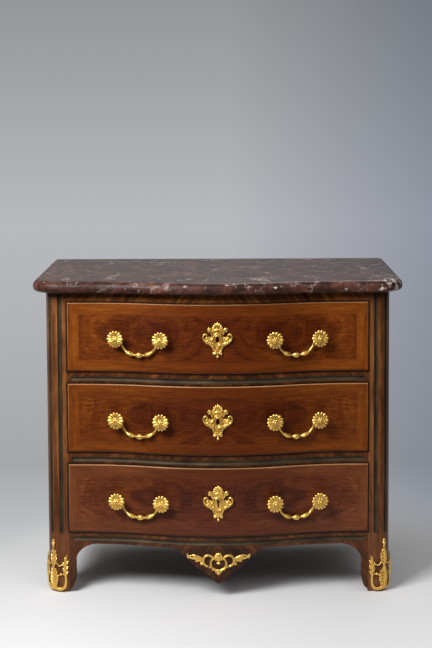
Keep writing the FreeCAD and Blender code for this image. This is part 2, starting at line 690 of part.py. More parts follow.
def bail():
    # A rod that hangs in a shallow loop, with two leaf swells and a bead, and a pin at each end
    half = [place for place in BAIL_TURNING if place[0] > 0]
    stations = [(-share, radius) for share, radius in reversed(half)] + list(BAIL_TURNING)
    step = 0.002
    sections = []
    for share, radius in stations:
        ahead = bail_point(min(share + step, 1)) - bail_point(max(share - step, -1))
        turns = [2 * math.pi * place / BAIL_FACETS for place in range(BAIL_FACETS + 1)]
        corners = [Vector(0, radius * math.sin(turn), radius * math.cos(turn)) for turn in turns]
        section = Part.makePolygon(corners)
        section.rotate(Vector(0, 0, 0), Vector(0, 1, 0), math.degrees(math.atan2(-ahead.z, ahead.x)))
        section.translate(bail_point(share))
        sections.append(section)
    rod = Part.makeLoft(sections, True, True)
    end = Part.makeSphere(BAIL_KNUCKLE_RADIUS, bail_point(1))
    ends = [piece for side in (end, pin(PIN_RADIUS, BAIL_HALF_WIDTH, PIN_DEPTH)) for piece in pair(side)]
    return rod.fuse(ends)


os.makedirs("parts", exist_ok=True)

for place, name in enumerate(DRAWERS):
    floor = FLOORS[place]
    low = floor + FRONT_GAP
    high = floor + OPENING_HEIGHT - FRONT_GAP
    middle = floor + OPENING_HEIGHT / 2
    blank = drawer_front(low, high)

    # Box: lapped dovetails into the front, through dovetails at the back, bottom in grooves
    box_low = floor + RUNNING_GAP
    box_high = box_low + BOX_HEIGHT
    inside = FRONT - FRONT_PROUD + FRONT_THICKNESS
    lap = FRONT - FRONT_PROUD + DOVETAIL_LAP
    front_tails = dovetails(inside, lap, box_low + DOVETAIL_START, box_high)
    back_tails = dovetails(BOX_BACK - BOX_SIDE, BOX_BACK, box_low + DOVETAIL_START, box_high)
    side = block(BOX_HALF - BOX_SIDE, BOX_HALF, inside, BOX_BACK - BOX_SIDE, box_low, box_high)
    bottom_low = box_low + BOTTOM_RISE
    bottom_high = bottom_low + BOTTOM_THICKNESS
    bottom = bow_board(FRONT_PROUD - FRONT_THICKNESS + BOTTOM_GROOVE, BOX_BACK, BOX_HALF - BOX_SIDE + BOTTOM_GROOVE,
                       bottom_low, bottom_high)
    side = side.fuse(front_tails + back_tails).removeSplitter().cut(bottom)
    back = block(-BOX_HALF, BOX_HALF, BOX_BACK - BOX_SIDE, BOX_BACK, bottom_high, box_high - BOX_BACK_DROP)
    back = back.cut([tail for piece in back_tails for tail in pair(piece)])

    # Lock let into the back of the front, its bolt rising through the top edge into the rail above
    lock_front = FRONT - BOW - FRONT_PROUD + FRONT_THICKNESS - LOCK_SINK
    half_lock = LOCK_WIDTH / 2
    half_bolt = BOLT_WIDTH / 2
    lock = block(-half_lock, half_lock, lock_front, lock_front + LOCK_DEPTH,
                 middle - LOCK_BELOW_KEYHOLE, high)
    bolt_y = lock_front + (LOCK_DEPTH - BOLT_THICKNESS) / 2
    bolt_top = high - BOLT_SINK
    bolt = block(-half_bolt, half_bolt, bolt_y, bolt_y + BOLT_THICKNESS, bolt_top - BOLT_LENGTH, bolt_top)
    slot = block(-half_bolt - BOLT_GAP, half_bolt + BOLT_GAP, bolt_y - BOLT_GAP, bolt_y + BOLT_THICKNESS + BOLT_GAP,
                 bolt_top - BOLT_LENGTH - BOLT_GAP, bolt_top + BOLT_TRAVEL + BOLT_GAP)
    key_way = keyhole(middle, FRONT - TOTAL_DEPTH, lock_front + LOCK_DEPTH / 2)
    rails[place + 1] = rails[place + 1].cut(slot)

    stems = [at_handle(stem_rod(side_sign, STEM_RADIUS + GLUE_GAP), middle) for side_sign in (1, -1)]
    holes = [hole for stem in stems for hole in pair(stem)]
    tails = [tail for piece in front_tails for tail in pair(piece)]
    front = blank.cut(holes + tails + [bottom, lock, key_way])
    heads = rosettes(middle, blank)
    right_bail = at_handle(bail(), middle)

    export(name + "_drawer_front", front)
    export(name + "_drawer_side_right", side)
    export(name + "_drawer_side_left", mirrored(side))
    export(name + "_drawer_back", back)
    export(name + "_drawer_bottom", bottom)
    export(name + "_lock_case", lock.cut([slot, key_way]))
    export(name + "_lock_bolt", bolt)
    export(name + "_escutcheon", escutcheon(middle))
    export(name + "_rosettes", *[solid for head in heads for solid in pair(head)])
    export(name + "_bail_right", right_bail)
    export(name + "_bail_left", mirrored(right_bail))

rails = [rail.cut(boards) for rail in rails]
for name, rail in zip(("bottom_rail", "lower_divider_rail", "upper_divider_rail", "top_rail"), rails):
    export(name, rail)
export("post_front_right", front_post)
export("post_front_left", mirrored(front_post))
export("post_rear_right", rear_post)
export("post_rear_left", mirrored(rear_post))
export("side_panel_right", side_panel)
export("side_panel_left", mirrored(side_panel))
export("back_frame", *back_frame)
export("back_panels", *back_panels)
export("drawer_runners", *runners)
export("drawer_guides", *guides)
export("drawer_stops", *stops)
export("bottom_board", boards[0])
export("dust_boards", *boards[1:])
export("top_board", top_board)
export("front_knee_brackets", *pair(front_knee))
export("side_knee_brackets", *side_knees)
export("apron", apron)
export("marble_top", marble_slab())
export("post_flute_strips", *[strip for liner in post_liners for strip in pair(liner)])
export("rail_flute_strips", *rail_liners)
export("sabot_right", sabot())
export("sabot_left", mirrored(sabot()))
export("apron_mount", apron_mount())
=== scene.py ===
import math

import bmesh
import bpy
from mathutils import Matrix, Vector


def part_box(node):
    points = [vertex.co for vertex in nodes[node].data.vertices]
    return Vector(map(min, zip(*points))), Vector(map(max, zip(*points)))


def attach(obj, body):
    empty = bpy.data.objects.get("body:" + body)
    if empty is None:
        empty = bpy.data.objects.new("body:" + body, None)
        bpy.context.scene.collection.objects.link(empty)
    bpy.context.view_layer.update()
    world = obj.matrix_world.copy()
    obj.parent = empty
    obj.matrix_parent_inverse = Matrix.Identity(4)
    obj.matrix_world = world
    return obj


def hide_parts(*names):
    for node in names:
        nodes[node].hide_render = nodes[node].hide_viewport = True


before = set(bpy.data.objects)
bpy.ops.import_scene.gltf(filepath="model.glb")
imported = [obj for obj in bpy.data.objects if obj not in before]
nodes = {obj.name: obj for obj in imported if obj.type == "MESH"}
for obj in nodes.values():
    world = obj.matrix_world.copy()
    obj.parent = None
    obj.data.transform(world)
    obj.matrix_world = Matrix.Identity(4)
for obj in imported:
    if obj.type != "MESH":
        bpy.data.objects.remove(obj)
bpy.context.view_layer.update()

drawers = ("bottom", "middle", "top")


# Front posts, rails and rear posts: softwood and oak covered with thin sheets of kingwood,
# glued, scraped and French polished. On the posts the sheets run upright, with the grain;
# on the rails short pieces are laid across.

def linear(code):
    # An sRGB hex colour as the linear colour that a shader takes
    shares = [int(code[place:place + 2], 16) / 255 for place in (1, 3, 5)]
    levels = [share / 12.92 if share <= 0.04045 else ((share + 0.055) / 1.055) ** 2.4 for share in shares]
    return (*levels, 1.0)


def add(tree, kind, settings=None, inputs=None, stops=None):
    # One shader node, its settings, and what its sockets hold or are linked to
    node = tree.nodes.new("ShaderNode" + kind)
    for name, value in (settings or {}).items():
        setattr(node, name, value)
    for place, (position, code) in enumerate(stops or []):
        ramp = node.color_ramp.elements
        stop = ramp[place] if place < 2 else ramp.new(position)
        stop.position = position
        stop.color = linear(code)
    for key, value in (inputs or {}).items():
        socket = node.inputs[key]
        if isinstance(value, bpy.types.Node):
            tree.links.new([out for out in value.outputs if out.enabled][0], socket)
        elif isinstance(value, bpy.types.NodeSocket):
            tree.links.new(value, socket)
        else:
            socket.default_value = linear(value) if isinstance(value, str) else value
    return node


# The two ways in which one colour is laid over another
BLEND = {"data_type": "RGBA"}
STAIN = {"data_type": "RGBA", "blend_type": "MULTIPLY"}


def surface(name, settings):
    # A material with its shader; the settings are constants on the shader's own sockets
    material = bpy.data.materials.new(name)
    material.use_nodes = True
    shader = material.node_tree.nodes["Principled BSDF"]
    for key, value in settings.items():
        shader.inputs[key].default_value = linear(value) if isinstance(value, str) else value
    return material, material.node_tree, shader


def dress(material, *names):
    # The finish of CAD pieces
    for name in names:
        nodes[name].data.materials.clear()
        nodes[name].data.materials.append(material)


POLISH = {"Roughness": 0.4, "Specular IOR Level": 0.16, "Coat Weight": 0.1, "Coat Roughness": 0.2}


def straight_veneer(name, grain, slant, shades):
    # French-polished kingwood: narrow dark and reddish stripes in patches, with a soft gloss over them;
    # slanted sheets are laid as mirror images on the two sides of the middle
    material, tree, shader = surface(name, POLISH)
    place = add(tree, "TexCoord").outputs["Object"]
    apart = add(tree, "SeparateXYZ", inputs={0: place})
    side = add(tree, "Math", {"operation": "ABSOLUTE"}, {0: apart.outputs[0]})
    sheet = add(tree, "CombineXYZ", inputs={0: side, 1: apart.outputs[1], 2: apart.outputs[2]})
    turned = add(tree, "Mapping", inputs={"Vector": sheet, "Rotation": (0.0, slant, 0.0)})
    streak = add(tree, "Mapping", inputs={"Vector": turned, "Scale": [1000 / mm for mm in grain]})
    drift = add(tree, "TexNoise", inputs={"Vector": place, "Scale": 1000 / 95, "Detail": 3.0})
    wander = add(tree, "VectorMath", {"operation": "MULTIPLY_ADD"},
                 {0: drift.outputs["Color"], 1: (1.2, 1.2, 1.2), 2: streak})
    stripes = add(tree, "TexNoise", inputs={"Vector": wander, "Scale": 1.0, "Detail": 7.0, "Roughness": 0.7})
    wood = add(tree, "ValToRGB", inputs={0: stripes.outputs[0]},
               stops=((0.3, shades[0]), (0.7, shades[2]), (0.5, shades[1])))
    patches = add(tree, "MapRange", inputs={0: drift.outputs[0], 1: 0.4, 2: 0.64, 3: 0.0, 4: 0.5})
    patched = add(tree, "Mix", STAIN,
                  {0: patches, 6: wood, 7: "#7c5a48"})
    # Painted shade: the wood goes near black round each drawer's opening, where the gaps fall in shadow
    nearest = 1.0
    for drawer in drawers:
        low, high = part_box(drawer + "_drawer_front")
        rise = add(tree, "Math", {"operation": "SUBTRACT"}, {0: apart.outputs[2], 1: (low.z + high.z) / 2})
        level = add(tree, "Math", {"operation": "ABSOLUTE"}, {0: rise})
        over = add(tree, "Math", {"operation": "SUBTRACT"}, {0: level, 1: (high.z - low.z) / 2})
        beside = add(tree, "Math", {"operation": "SUBTRACT"}, {0: side, 1: high.x})
        outside = add(tree, "Math", {"operation": "MAXIMUM"}, {0: over, 1: beside})
        nearest = add(tree, "Math", {"operation": "MINIMUM"}, {0: outside, 1: nearest})
    painted_gap_shade = add(tree, "MapRange", inputs={0: nearest, 1: 0.002, 2: 0.006, 3: 0.92, 4: 0.0})
    darkened = add(tree, "Mix", BLEND, {0: painted_gap_shade, 6: patched.outputs[2], 7: "#0d0603"})
    tree.links.new(darkened.outputs[2], shader.inputs["Base Color"])
    pores = add(tree, "Bump", inputs={"Strength": 0.12, "Distance": 0.0004, "Height": stripes.outputs[0]})
    tree.links.new(pores.outputs[0], shader.inputs["Normal"])
    return material


# Stripe sizes along the three axes in mm, and the slant of the short pieces in radians
UPRIGHT_GRAIN = (12, 12, 260)
CROSS_GRAIN = (11, 80, 170)
CROSS_SLANT = 0.6
UPRIGHT_SHADES = ("#3b1d0d", "#6b3f21", "#8c592f")
CROSS_SHADES = ("#221006", "#4c2810", "#7a431a")
# The top rail's shades are lighter than the other rails', painted light that lifts it out of the marble's
# shadow
LIT_TOP_SHADES = ("#341a09", "#733f18", "#a86b2e")
upright_veneer = straight_veneer("kingwood_veneer_upright", UPRIGHT_GRAIN, 0.0, UPRIGHT_SHADES)
cross_veneer = straight_veneer("kingwood_veneer_across", CROSS_GRAIN, CROSS_SLANT, CROSS_SHADES)
lit_top_veneer = straight_veneer("kingwood_veneer_top", CROSS_GRAIN, CROSS_SLANT, LIT_TOP_SHADES)
dress(upright_veneer, "post_front_left", "post_front_right", "post_rear_left", "post_rear_right")
dress(cross_veneer, "upper_divider_rail", "lower_divider_rail", "bottom_rail")
dress(lit_top_veneer, "top_rail")


# Side panels: glued softwood boards, veneered outside with figured kingwood inside a quiet
# border, and tongued into the posts.

BORDER_WIDTH = 0.030
BORDER_BLUR = 0.0005
LINE_HALF_WIDTH = 0.0007


def figured_veneer(name, across, outward, middle, half_sizes, heart, spread, seed, shades, band_shades):
    # Kingwood sheets opened like a book from the middle: oval figure round a dark heart, fine streaks,
    # and a quiet border of long grain; the polish is soft, the upper arris pale from rubbing and painted
    # highlight, the foot darkened by painted shade, the inside bare
    material, tree, shader = surface(name, POLISH)
    # Where a point lies on the sheet, and how far it is from the sheet's ends and edges
    spot = add(tree, "TexCoord")
    place = add(tree, "SeparateXYZ", inputs={0: spot.outputs["Object"]})
    run = add(tree, "Math", {"operation": "SUBTRACT"}, {0: place.outputs[across], 1: middle[0]})
    rise = add(tree, "Math", {"operation": "SUBTRACT"}, {0: place.outputs[2], 1: middle[1]})
    side = add(tree, "Math", {"operation": "ABSOLUTE"}, {0: run})
    height = add(tree, "Math", {"operation": "ABSOLUTE"}, {0: rise})
    end_gap = add(tree, "Math", {"operation": "SUBTRACT"}, {0: half_sizes[0], 1: side})
    edge_gap = add(tree, "Math", {"operation": "SUBTRACT"}, {0: half_sizes[1], 1: height})
    edge = add(tree, "Math", {"operation": "MINIMUM"}, {0: end_gap, 1: edge_gap})
    sheet = add(tree, "CombineXYZ", inputs={0: side, 1: rise, 2: seed})
    # The field's figure winds round the heart; the border's grain runs along each of its bands
    swirl = add(tree, "TexNoise",
                inputs={"Vector": sheet, "Scale": 1000 / 120, "Detail": 3.0, "Distortion": 0.8})
    oval = add(tree, "VectorMath", {"operation": "MULTIPLY_ADD"},
               {0: sheet, 1: (1 / spread[0], 1 / spread[1], 0.0),
                2: (-heart[0] / spread[0], -heart[1] / spread[1], 0.0)})
    heart_gap = add(tree, "VectorMath", {"operation": "LENGTH"}, {0: oval}).outputs["Value"]
    ring = add(tree, "Math", {"operation": "MULTIPLY"}, {0: heart_gap, 1: 0.028})
    bend = add(tree, "Math", {"operation": "MULTIPLY_ADD"}, {0: swirl.outputs[0], 1: 0.042, 2: ring})
    field = add(tree, "CombineXYZ", inputs={0: side, 1: bend, 2: seed})
    long_grain = add(tree, "Mapping", inputs={"Vector": field, "Scale": (1000 / 180, 1000 / 15, 3.0)})
    upright_grain = add(tree, "Mapping", inputs={"Vector": sheet, "Scale": (1000 / 14, 1000 / 120, 5.0)})
    level_grain = add(tree, "Mapping", inputs={"Vector": sheet, "Scale": (1000 / 120, 1000 / 14, 5.0)})
    at_end = add(tree, "Math", {"operation": "LESS_THAN"}, {0: end_gap, 1: edge_gap})
    border_grain = add(tree, "Mix", {"data_type": "VECTOR"}, {0: at_end, 4: level_grain, 5: upright_grain})
    in_border = add(tree, "MapRange", inputs={0: edge, 1: BORDER_WIDTH - BORDER_BLUR,
                                              2: BORDER_WIDTH + BORDER_BLUR, 3: 1.0, 4: 0.0})
    grain = add(tree, "Mix", {"data_type": "VECTOR"},
                {0: in_border, 4: long_grain, 5: border_grain.outputs[1]})
    streaks = add(tree, "TexNoise",
                  inputs={"Vector": grain.outputs[1], "Scale": 1.0, "Detail": 8.0, "Roughness": 0.8})
    field_wood = add(tree, "ValToRGB", inputs={0: streaks.outputs[0]},
                     stops=((0.28, shades[0]), (0.72, shades[2]), (0.5, shades[1])))
    border_wood = add(tree, "ValToRGB", inputs={0: streaks.outputs[0]},
                      stops=((0.3, band_shades[0]), (0.7, band_shades[2]), (0.5, band_shades[1])))
    wood = add(tree, "Mix", BLEND, {0: in_border, 6: field_wood, 7: border_wood})
    # Dark clouds round the heart, fine level flecks, and a deeper tone towards the middle
    clouds = add(tree, "TexNoise", inputs={"Vector": field, "Scale": 1000 / 70, "Detail": 5.0,
                                           "Roughness": 0.6, "Distortion": 1.4})
    near_heart = add(tree, "MapRange", {"interpolation_type": "SMOOTHSTEP"},
                     {0: heart_gap, 1: 0.1, 2: 1.5, 3: 1.0, 4: 0.12})
    cloud = add(tree, "MapRange", inputs={0: clouds.outputs[0], 1: 0.34, 2: 0.6, 3: 0.25, 4: 1.0})
    dark_cloud = add(tree, "Math", {"operation": "MULTIPLY"}, {0: cloud, 1: near_heart})
    inside_border = add(tree, "MapRange", inputs={0: edge, 1: 0.01, 2: 0.05, 3: 0.5, 4: 1.0})
    cloud_share = add(tree, "Math", {"operation": "MULTIPLY"}, {0: dark_cloud, 1: inside_border})
    flecks = add(tree, "TexNoise",
                 inputs={"Vector": level_grain, "Scale": 3.4, "Detail": 5.0, "Roughness": 0.75})
    fleck = add(tree, "MapRange", inputs={0: flecks.outputs[0], 1: 0.38, 2: 0.62, 3: 0.0, 4: 0.72})
    fleck_share = add(tree, "MapRange", inputs={0: in_border, 1: 0.0, 2: 1.6, 3: fleck, 4: 0.0})
    flecked = add(tree, "Mix", STAIN,
                  {0: fleck_share, 6: wood.outputs[2], 7: "#8d6b5a"})
    clouded = add(tree, "Mix", STAIN,
                  {0: cloud_share, 6: flecked.outputs[2], 7: "#a97f70"})
    middle_share = add(tree, "MapRange", {"interpolation_type": "SMOOTHSTEP"},
                       {0: side, 1: 0.0, 2: 0.85 * half_sizes[0], 3: 1.0, 4: 0.0})
    deeper = add(tree, "Mix", STAIN,
                 {0: middle_share, 6: clouded.outputs[2], 7: "#d2bfb2"})
    # A thin line round the field, painted shade along the foot, and a pale arris at the top that is partly
    # rubbed wear and partly painted highlight
    line_gap = add(tree, "Math", {"operation": "COMPARE"},
                   {0: edge, 1: BORDER_WIDTH + BORDER_BLUR, 2: LINE_HALF_WIDTH})
    line_share = add(tree, "Math", {"operation": "MULTIPLY"}, {0: line_gap, 1: 0.2})
    lined = add(tree, "Mix", BLEND, {0: line_share, 6: deeper.outputs[2], 7: "#251005"})
    # Painted shade: darker towards the foot of the sheet
    foot_gap = add(tree, "Math", {"operation": "ADD"}, {0: rise, 1: half_sizes[1]})
    painted_foot_shade = add(tree, "MapRange", inputs={0: foot_gap, 1: 0.001, 2: 0.008, 3: 0.7, 4: 0.0})
    foot_shaded = add(tree, "Mix", BLEND, {0: painted_foot_shade, 6: lined.outputs[2], 7: "#1c0c05"})
    # Painted highlight on the arris, strongest at the top, laid over its rubbed wear
    arris_wear_and_highlight = add(tree, "MapRange", inputs={0: edge, 1: 0.0008, 2: 0.0026, 3: 0.9, 4: 0.0})
    upper = add(tree, "MapRange", inputs={0: rise, 1: -half_sizes[1], 2: half_sizes[1], 3: 0.1, 4: 1.0})
    arris_highlight_share = add(tree, "Math", {"operation": "MULTIPLY"}, {0: arris_wear_and_highlight, 1: upper})
    patchy_arris_highlight = add(tree, "Math", {"operation": "MULTIPLY"}, {0: arris_highlight_share, 1: swirl.outputs[0]})
    worn_and_highlit = add(tree, "Mix", BLEND, {0: patchy_arris_highlight, 6: foot_shaded.outputs[2], 7: "#cf9a66"})
    # Only the outward face is veneered
    facing = add(tree, "VectorMath", {"operation": "DOT_PRODUCT"}, {0: spot.outputs["Normal"], 1: outward})
    veneered = add(tree, "MapRange", inputs={0: facing.outputs["Value"], 1: 0.15, 2: 0.35, 3: 0.0, 4: 1.0})
    core_wood = add(tree, "ValToRGB", inputs={0: streaks.outputs[0]},
                    stops=((0.3, "#5a3d26"), (0.7, "#99764e"), (0.5, "#7b5a39")))
    faced = add(tree, "Mix", BLEND, {0: veneered, 6: core_wood, 7: worn_and_highlit.outputs[2]})
    tree.links.new(faced.outputs[2], shader.inputs["Base Color"])
    pores = add(tree, "Bump", inputs={"Strength": 0.1, "Distance": 0.0004, "Height": streaks.outputs[0]})
    tree.links.new(pores.outputs[0], shader.inputs["Normal"])
    return material


SIDE_SHADES = ("#3a1a06", "#62300c", "#824818")
BORDER_SHADES = ("#5a2d0d", "#6f3a12", "#84491c")
SIDE_HEART = (0.0, 0.03)
SIDE_SPREAD = (0.09, 0.26)
SIDE_SEED = 4.0
SIDE_TONGUE = 0.006
for hand, outward in (("left", (-1, 0, 0)), ("right", (1, 0, 0))):
    low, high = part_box("side_panel_" + hand)
    panel_middle = (low + high) / 2
    panel_half = (high - low) / 2
    dress(figured_veneer("kingwood_veneer_side_" + hand, 1, outward, (panel_middle.y, panel_middle.z),
                         (panel_half.y - SIDE_TONGUE, panel_half.z), SIDE_HEART, SIDE_SPREAD, SIDE_SEED,
                         SIDE_SHADES, BORDER_SHADES), "side_panel_" + hand)


# Back, bottom, dust boards, runners, guides and stops: planed softwood, left bare inside the
# case, where it has gone dull brown with age.

def plank(name, grain, shades, roughness, stile=None):
    # Planed bare wood: long pale and brown growth lines, a dry surface and soiled patches;
    # in a stile, given by its half width and its two ends, the grain stands upright
    material, tree, shader = surface(name, {"Roughness": roughness})
    place = add(tree, "TexCoord").outputs["Object"]
    if stile:
        apart = add(tree, "SeparateXYZ", inputs={0: place})
        beside = add(tree, "Math", {"operation": "COMPARE"}, {0: apart.outputs[0], 1: 0.0, 2: stile[0]})
        between = add(tree, "Math", {"operation": "COMPARE"},
                      {0: apart.outputs[2], 1: (stile[1] + stile[2]) / 2, 2: (stile[2] - stile[1]) / 2})
        in_stile = add(tree, "Math", {"operation": "MULTIPLY"}, {0: beside, 1: between})
        upright = add(tree, "CombineXYZ",
                      inputs={0: apart.outputs[2], 1: apart.outputs[1], 2: apart.outputs[0]})
        place = add(tree, "Mix", {"data_type": "VECTOR"}, {0: in_stile, 4: place, 5: upright}).outputs[1]
    stretch = add(tree, "Mapping", inputs={"Vector": place, "Scale": [1000 / mm for mm in grain]})
    drift = add(tree, "TexNoise", inputs={"Vector": place, "Scale": 1000 / 200, "Detail": 2.0})
    wander = add(tree, "VectorMath", {"operation": "MULTIPLY_ADD"},
                 {0: drift.outputs["Color"], 1: (2.0, 2.0, 2.0), 2: stretch})
    rings = add(tree, "TexNoise", inputs={"Vector": wander, "Scale": 1.0, "Detail": 4.0, "Roughness": 0.55})
    wood = add(tree, "ValToRGB", inputs={0: rings.outputs[0]},
               stops=((0.3, shades[0]), (0.72, shades[2]), (0.5, shades[1])))
    soil = add(tree, "MapRange", inputs={0: drift.outputs[0], 1: 0.45, 2: 0.75, 3: 0.0, 4: 0.5})
    darkened = add(tree, "Mix", STAIN, {0: soil, 6: wood, 7: "#8d7864"})
    tree.links.new(darkened.outputs[2], shader.inputs["Base Color"])
    fibre = add(tree, "Bump", inputs={"Strength": 0.25, "Distance": 0.0006, "Height": rings.outputs[0]})
    tree.links.new(fibre.outputs[0], shader.inputs["Normal"])
    return material


SOFTWOOD = ("#6d4c2e", "#8e6a44", "#a9855a")
SHADE_DARKENED_SOFTWOOD = ("#2f2218", "#3d2d20", "#4c3a2a")
LEVEL_GRAIN = (300, 9, 9)
DEEP_GRAIN = (9, 260, 9)
BACK_RAIL = 0.060
BACK_STILE_HALF = 0.035
softwood_level = plank("aged_softwood_level", LEVEL_GRAIN, SOFTWOOD, 0.8)
softwood_deep = plank("aged_softwood_deep", DEEP_GRAIN, SOFTWOOD, 0.8)
low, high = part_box("back_frame")
back_stile = (BACK_STILE_HALF, low.z + BACK_RAIL, high.z - BACK_RAIL)
dress(plank("aged_softwood_frame", LEVEL_GRAIN, SOFTWOOD, 0.8, back_stile), "back_frame")
dress(softwood_level, "back_panels", "dust_boards", "top_board")
# The bottom board is given darker softwood, painted shade, so the space under the chest stays dark
dress(plank("shade_darkened_softwood", LEVEL_GRAIN, SHADE_DARKENED_SOFTWOOD, 0.85), "bottom_board")
dress(softwood_deep, "drawer_runners", "drawer_guides", "drawer_stops")


# Apron and knee brackets: shaped softwood blocks glued under the bottom rail and beside the
# feet, veneered to match.

DARK_SHADES = ("#190b04", "#391c0b", "#5e3414")
dark_veneer = straight_veneer("kingwood_veneer_dark", CROSS_GRAIN, CROSS_SLANT, DARK_SHADES)
dress(dark_veneer, "apron")
dress(cross_veneer, "front_knee_brackets", "side_knee_brackets")


# Brass channels: thin strips bent into the flutes of the posts and rails and glued, gone
# olive-brown with old polish.

aged_brass, tree, shader = surface("aged_brass_strip", {"Metallic": 0.6, "Roughness": 0.62})
place = add(tree, "TexCoord").outputs["Object"]
along = add(tree, "Mapping", inputs={"Vector": place, "Scale": (1000 / 70, 1000 / 25, 1000 / 70)})
tarnish = add(tree, "TexNoise", inputs={"Vector": along, "Scale": 1.0, "Detail": 4.0, "Roughness": 0.55})
brass = add(tree, "ValToRGB", inputs={0: tarnish.outputs[0]},
            stops=((0.3, "#2b2115"), (0.75, "#56452c"), (0.52, "#3f321f")))
tree.links.new(brass.outputs[0], shader.inputs["Base Color"])
dullness = add(tree, "Bump", inputs={"Strength": 0.15, "Distance": 0.0005, "Height": tarnish.outputs[0]})
tree.links.new(dullness.outputs[0], shader.inputs["Normal"])
dress(aged_brass, "post_flute_strips", "rail_flute_strips")


# Sabots: gilt shoes that cap the front feet, cast in bronze from a carved pattern, chased,
# gilded and pinned to the wood. A leafy stalk covers the corner, and an arm runs up each face.

gilt_bronze, tree, shader = surface("gilt_bronze", {"Metallic": 0.85})
# Chased fire gilding: burnished on the heights, matt and soiled in the hollows; the hollows' dark brown is
# also painted shade, taken from the surface's pointiness
place = add(tree, "TexCoord").outputs["Object"]
grit = add(tree, "TexNoise", inputs={"Vector": place, "Scale": 1000 / 3, "Detail": 3.0, "Roughness": 0.6})
relief = add(tree, "NewGeometry").outputs["Pointiness"]
height = add(tree, "MapRange", inputs={0: relief, 1: 0.42, 2: 0.56, 3: 0.0, 4: 1.0})
wear = add(tree, "Math", {"operation": "MULTIPLY_ADD"}, {0: grit.outputs[0], 1: 0.5, 2: -0.25})
burnish_and_hollow_shade = add(tree, "Math", {"operation": "ADD", "use_clamp": True}, {0: height, 1: wear})
gold = add(tree, "ValToRGB", inputs={0: burnish_and_hollow_shade},
           stops=((0.08, "#46280b"), (0.85, "#f6cf74"), (0.42, "#d59c3c")))
tree.links.new(gold.outputs[0], shader.inputs["Base Color"])
burnish = add(tree, "MapRange", inputs={0: burnish_and_hollow_shade, 1: 0.1, 2: 0.9, 3: 0.5, 4: 0.24})
tree.links.new(burnish.outputs[0], shader.inputs["Roughness"])
chasing = add(tree, "Bump", inputs={"Strength": 0.2, "Distance": 0.0003, "Height": grit.outputs[0]})
tree.links.new(chasing.outputs[0], shader.inputs["Normal"])


def smooth(stations, steps=5):
    # Places along a flowing line through the given stations
    last = len(stations) - 1
    line = []
    for place in range(last):
        a, b, c, d = [Vector(stations[min(max(place + shift, 0), last)]) for shift in (-1, 0, 1, 2)]
        for step in range(steps):
            t = step / steps
            line.append(b + (c - a) * (t / 2) + (a * 2 - b * 5 + c * 4 - d) * (t * t / 2)
                        + (b * 3 - a - c * 3 + d) * (t ** 3 / 2))
    line.append(Vector(stations[-1]))
    return line


def rod(casting, radius, length, place, sides):
    # A round bar with flat ends
    bmesh.ops.create_cone(casting, cap_ends=True, segments=sides, radius1=radius, radius2=radius,
                          depth=length, matrix=place)


def pour(source, target):
    # Adds one open mesh to another and lets it go
    blank = bpy.data.meshes.new("blank")
    source.to_mesh(blank)
    source.free()
    target.from_mesh(blank)
    bpy.data.meshes.remove(blank)


def rib(casting, stations, thick=0.8, sides=10):
    # A bar along a flowing line; each station is across, up, half width and height of its middle, in mm
    line = smooth(stations)
    bar = bmesh.new()
    ring = bmesh.ops.create_circle(bar, cap_ends=True, segments=sides, radius=1.0)["verts"]
    edges = list(bar.edges)
    before = Matrix.Identity(4)
    for place, spot in enumerate(line):
        ahead = line[min(place + 1, len(line) - 1)] - line[max(place - 1, 0)]
        turn = math.atan2(ahead.y, ahead.x)
        half = max(spot.z, 0.15)
        here = (Matrix.Translation((spot.x, spot.y, spot.w)) @ Matrix.Rotation(turn, 4, "Z")
                @ Matrix.Rotation(math.pi / 2, 4, "Y") @ Matrix.Diagonal((half * thick, half, 1.0, 1.0)))
        if place:
            grown = bmesh.ops.extrude_edge_only(bar, edges=edges)["geom"]
            ring = [item for item in grown if isinstance(item, bmesh.types.BMVert)]
            edges = [item for item in grown if isinstance(item, bmesh.types.BMEdge) and item.is_boundary]
        bmesh.ops.transform(bar, matrix=here @ before.inverted(), verts=ring)
        before = here
    bmesh.ops.contextual_create(bar, geom=edges)
    bmesh.ops.recalc_face_normals(bar, faces=bar.faces)
    pour(bar, casting)


def bead(casting, across, up, half_width, half_height, out, height):
    # A rounded lump
    shape = Matrix.Translation((across, up, height)) @ Matrix.Diagonal((half_width, half_height, out, 1.0))
    bmesh.ops.create_icosphere(casting, subdivisions=3, radius=1.0, matrix=shape)


def both_sides(casting):
    # The left half is the right half mirrored
    half = casting.verts[:] + casting.edges[:] + casting.faces[:]
    copy = bmesh.ops.duplicate(casting, geom=half)["geom"]
    points = [item for item in copy if isinstance(item, bmesh.types.BMVert)]
    faces = [item for item in copy if isinstance(item, bmesh.types.BMFace)]
    bmesh.ops.scale(casting, vec=(-1, 1, 1), verts=points)
    bmesh.ops.reverse_faces(casting, faces=faces)


def melt(casting, grain):
    # The lumps and bars run together into one body, in mm, as the foundry's pattern does
    pattern = bpy.data.meshes.new("pattern")
    casting.to_mesh(pattern)
    casting.free()
    model = bpy.data.objects.new("pattern", pattern)
    bpy.context.scene.collection.objects.link(model)
    join = model.modifiers.new("join", "REMESH")
    join.mode = "VOXEL"
    join.voxel_size = grain
    soften = model.modifiers.new("soften", "SMOOTH")
    soften.factor = 0.5
    soften.iterations = 2
    body = bpy.data.meshes.new_from_object(model.evaluated_get(bpy.context.evaluated_depsgraph_get()))
    bpy.data.objects.remove(model)
    bpy.data.meshes.remove(pattern)
    return body


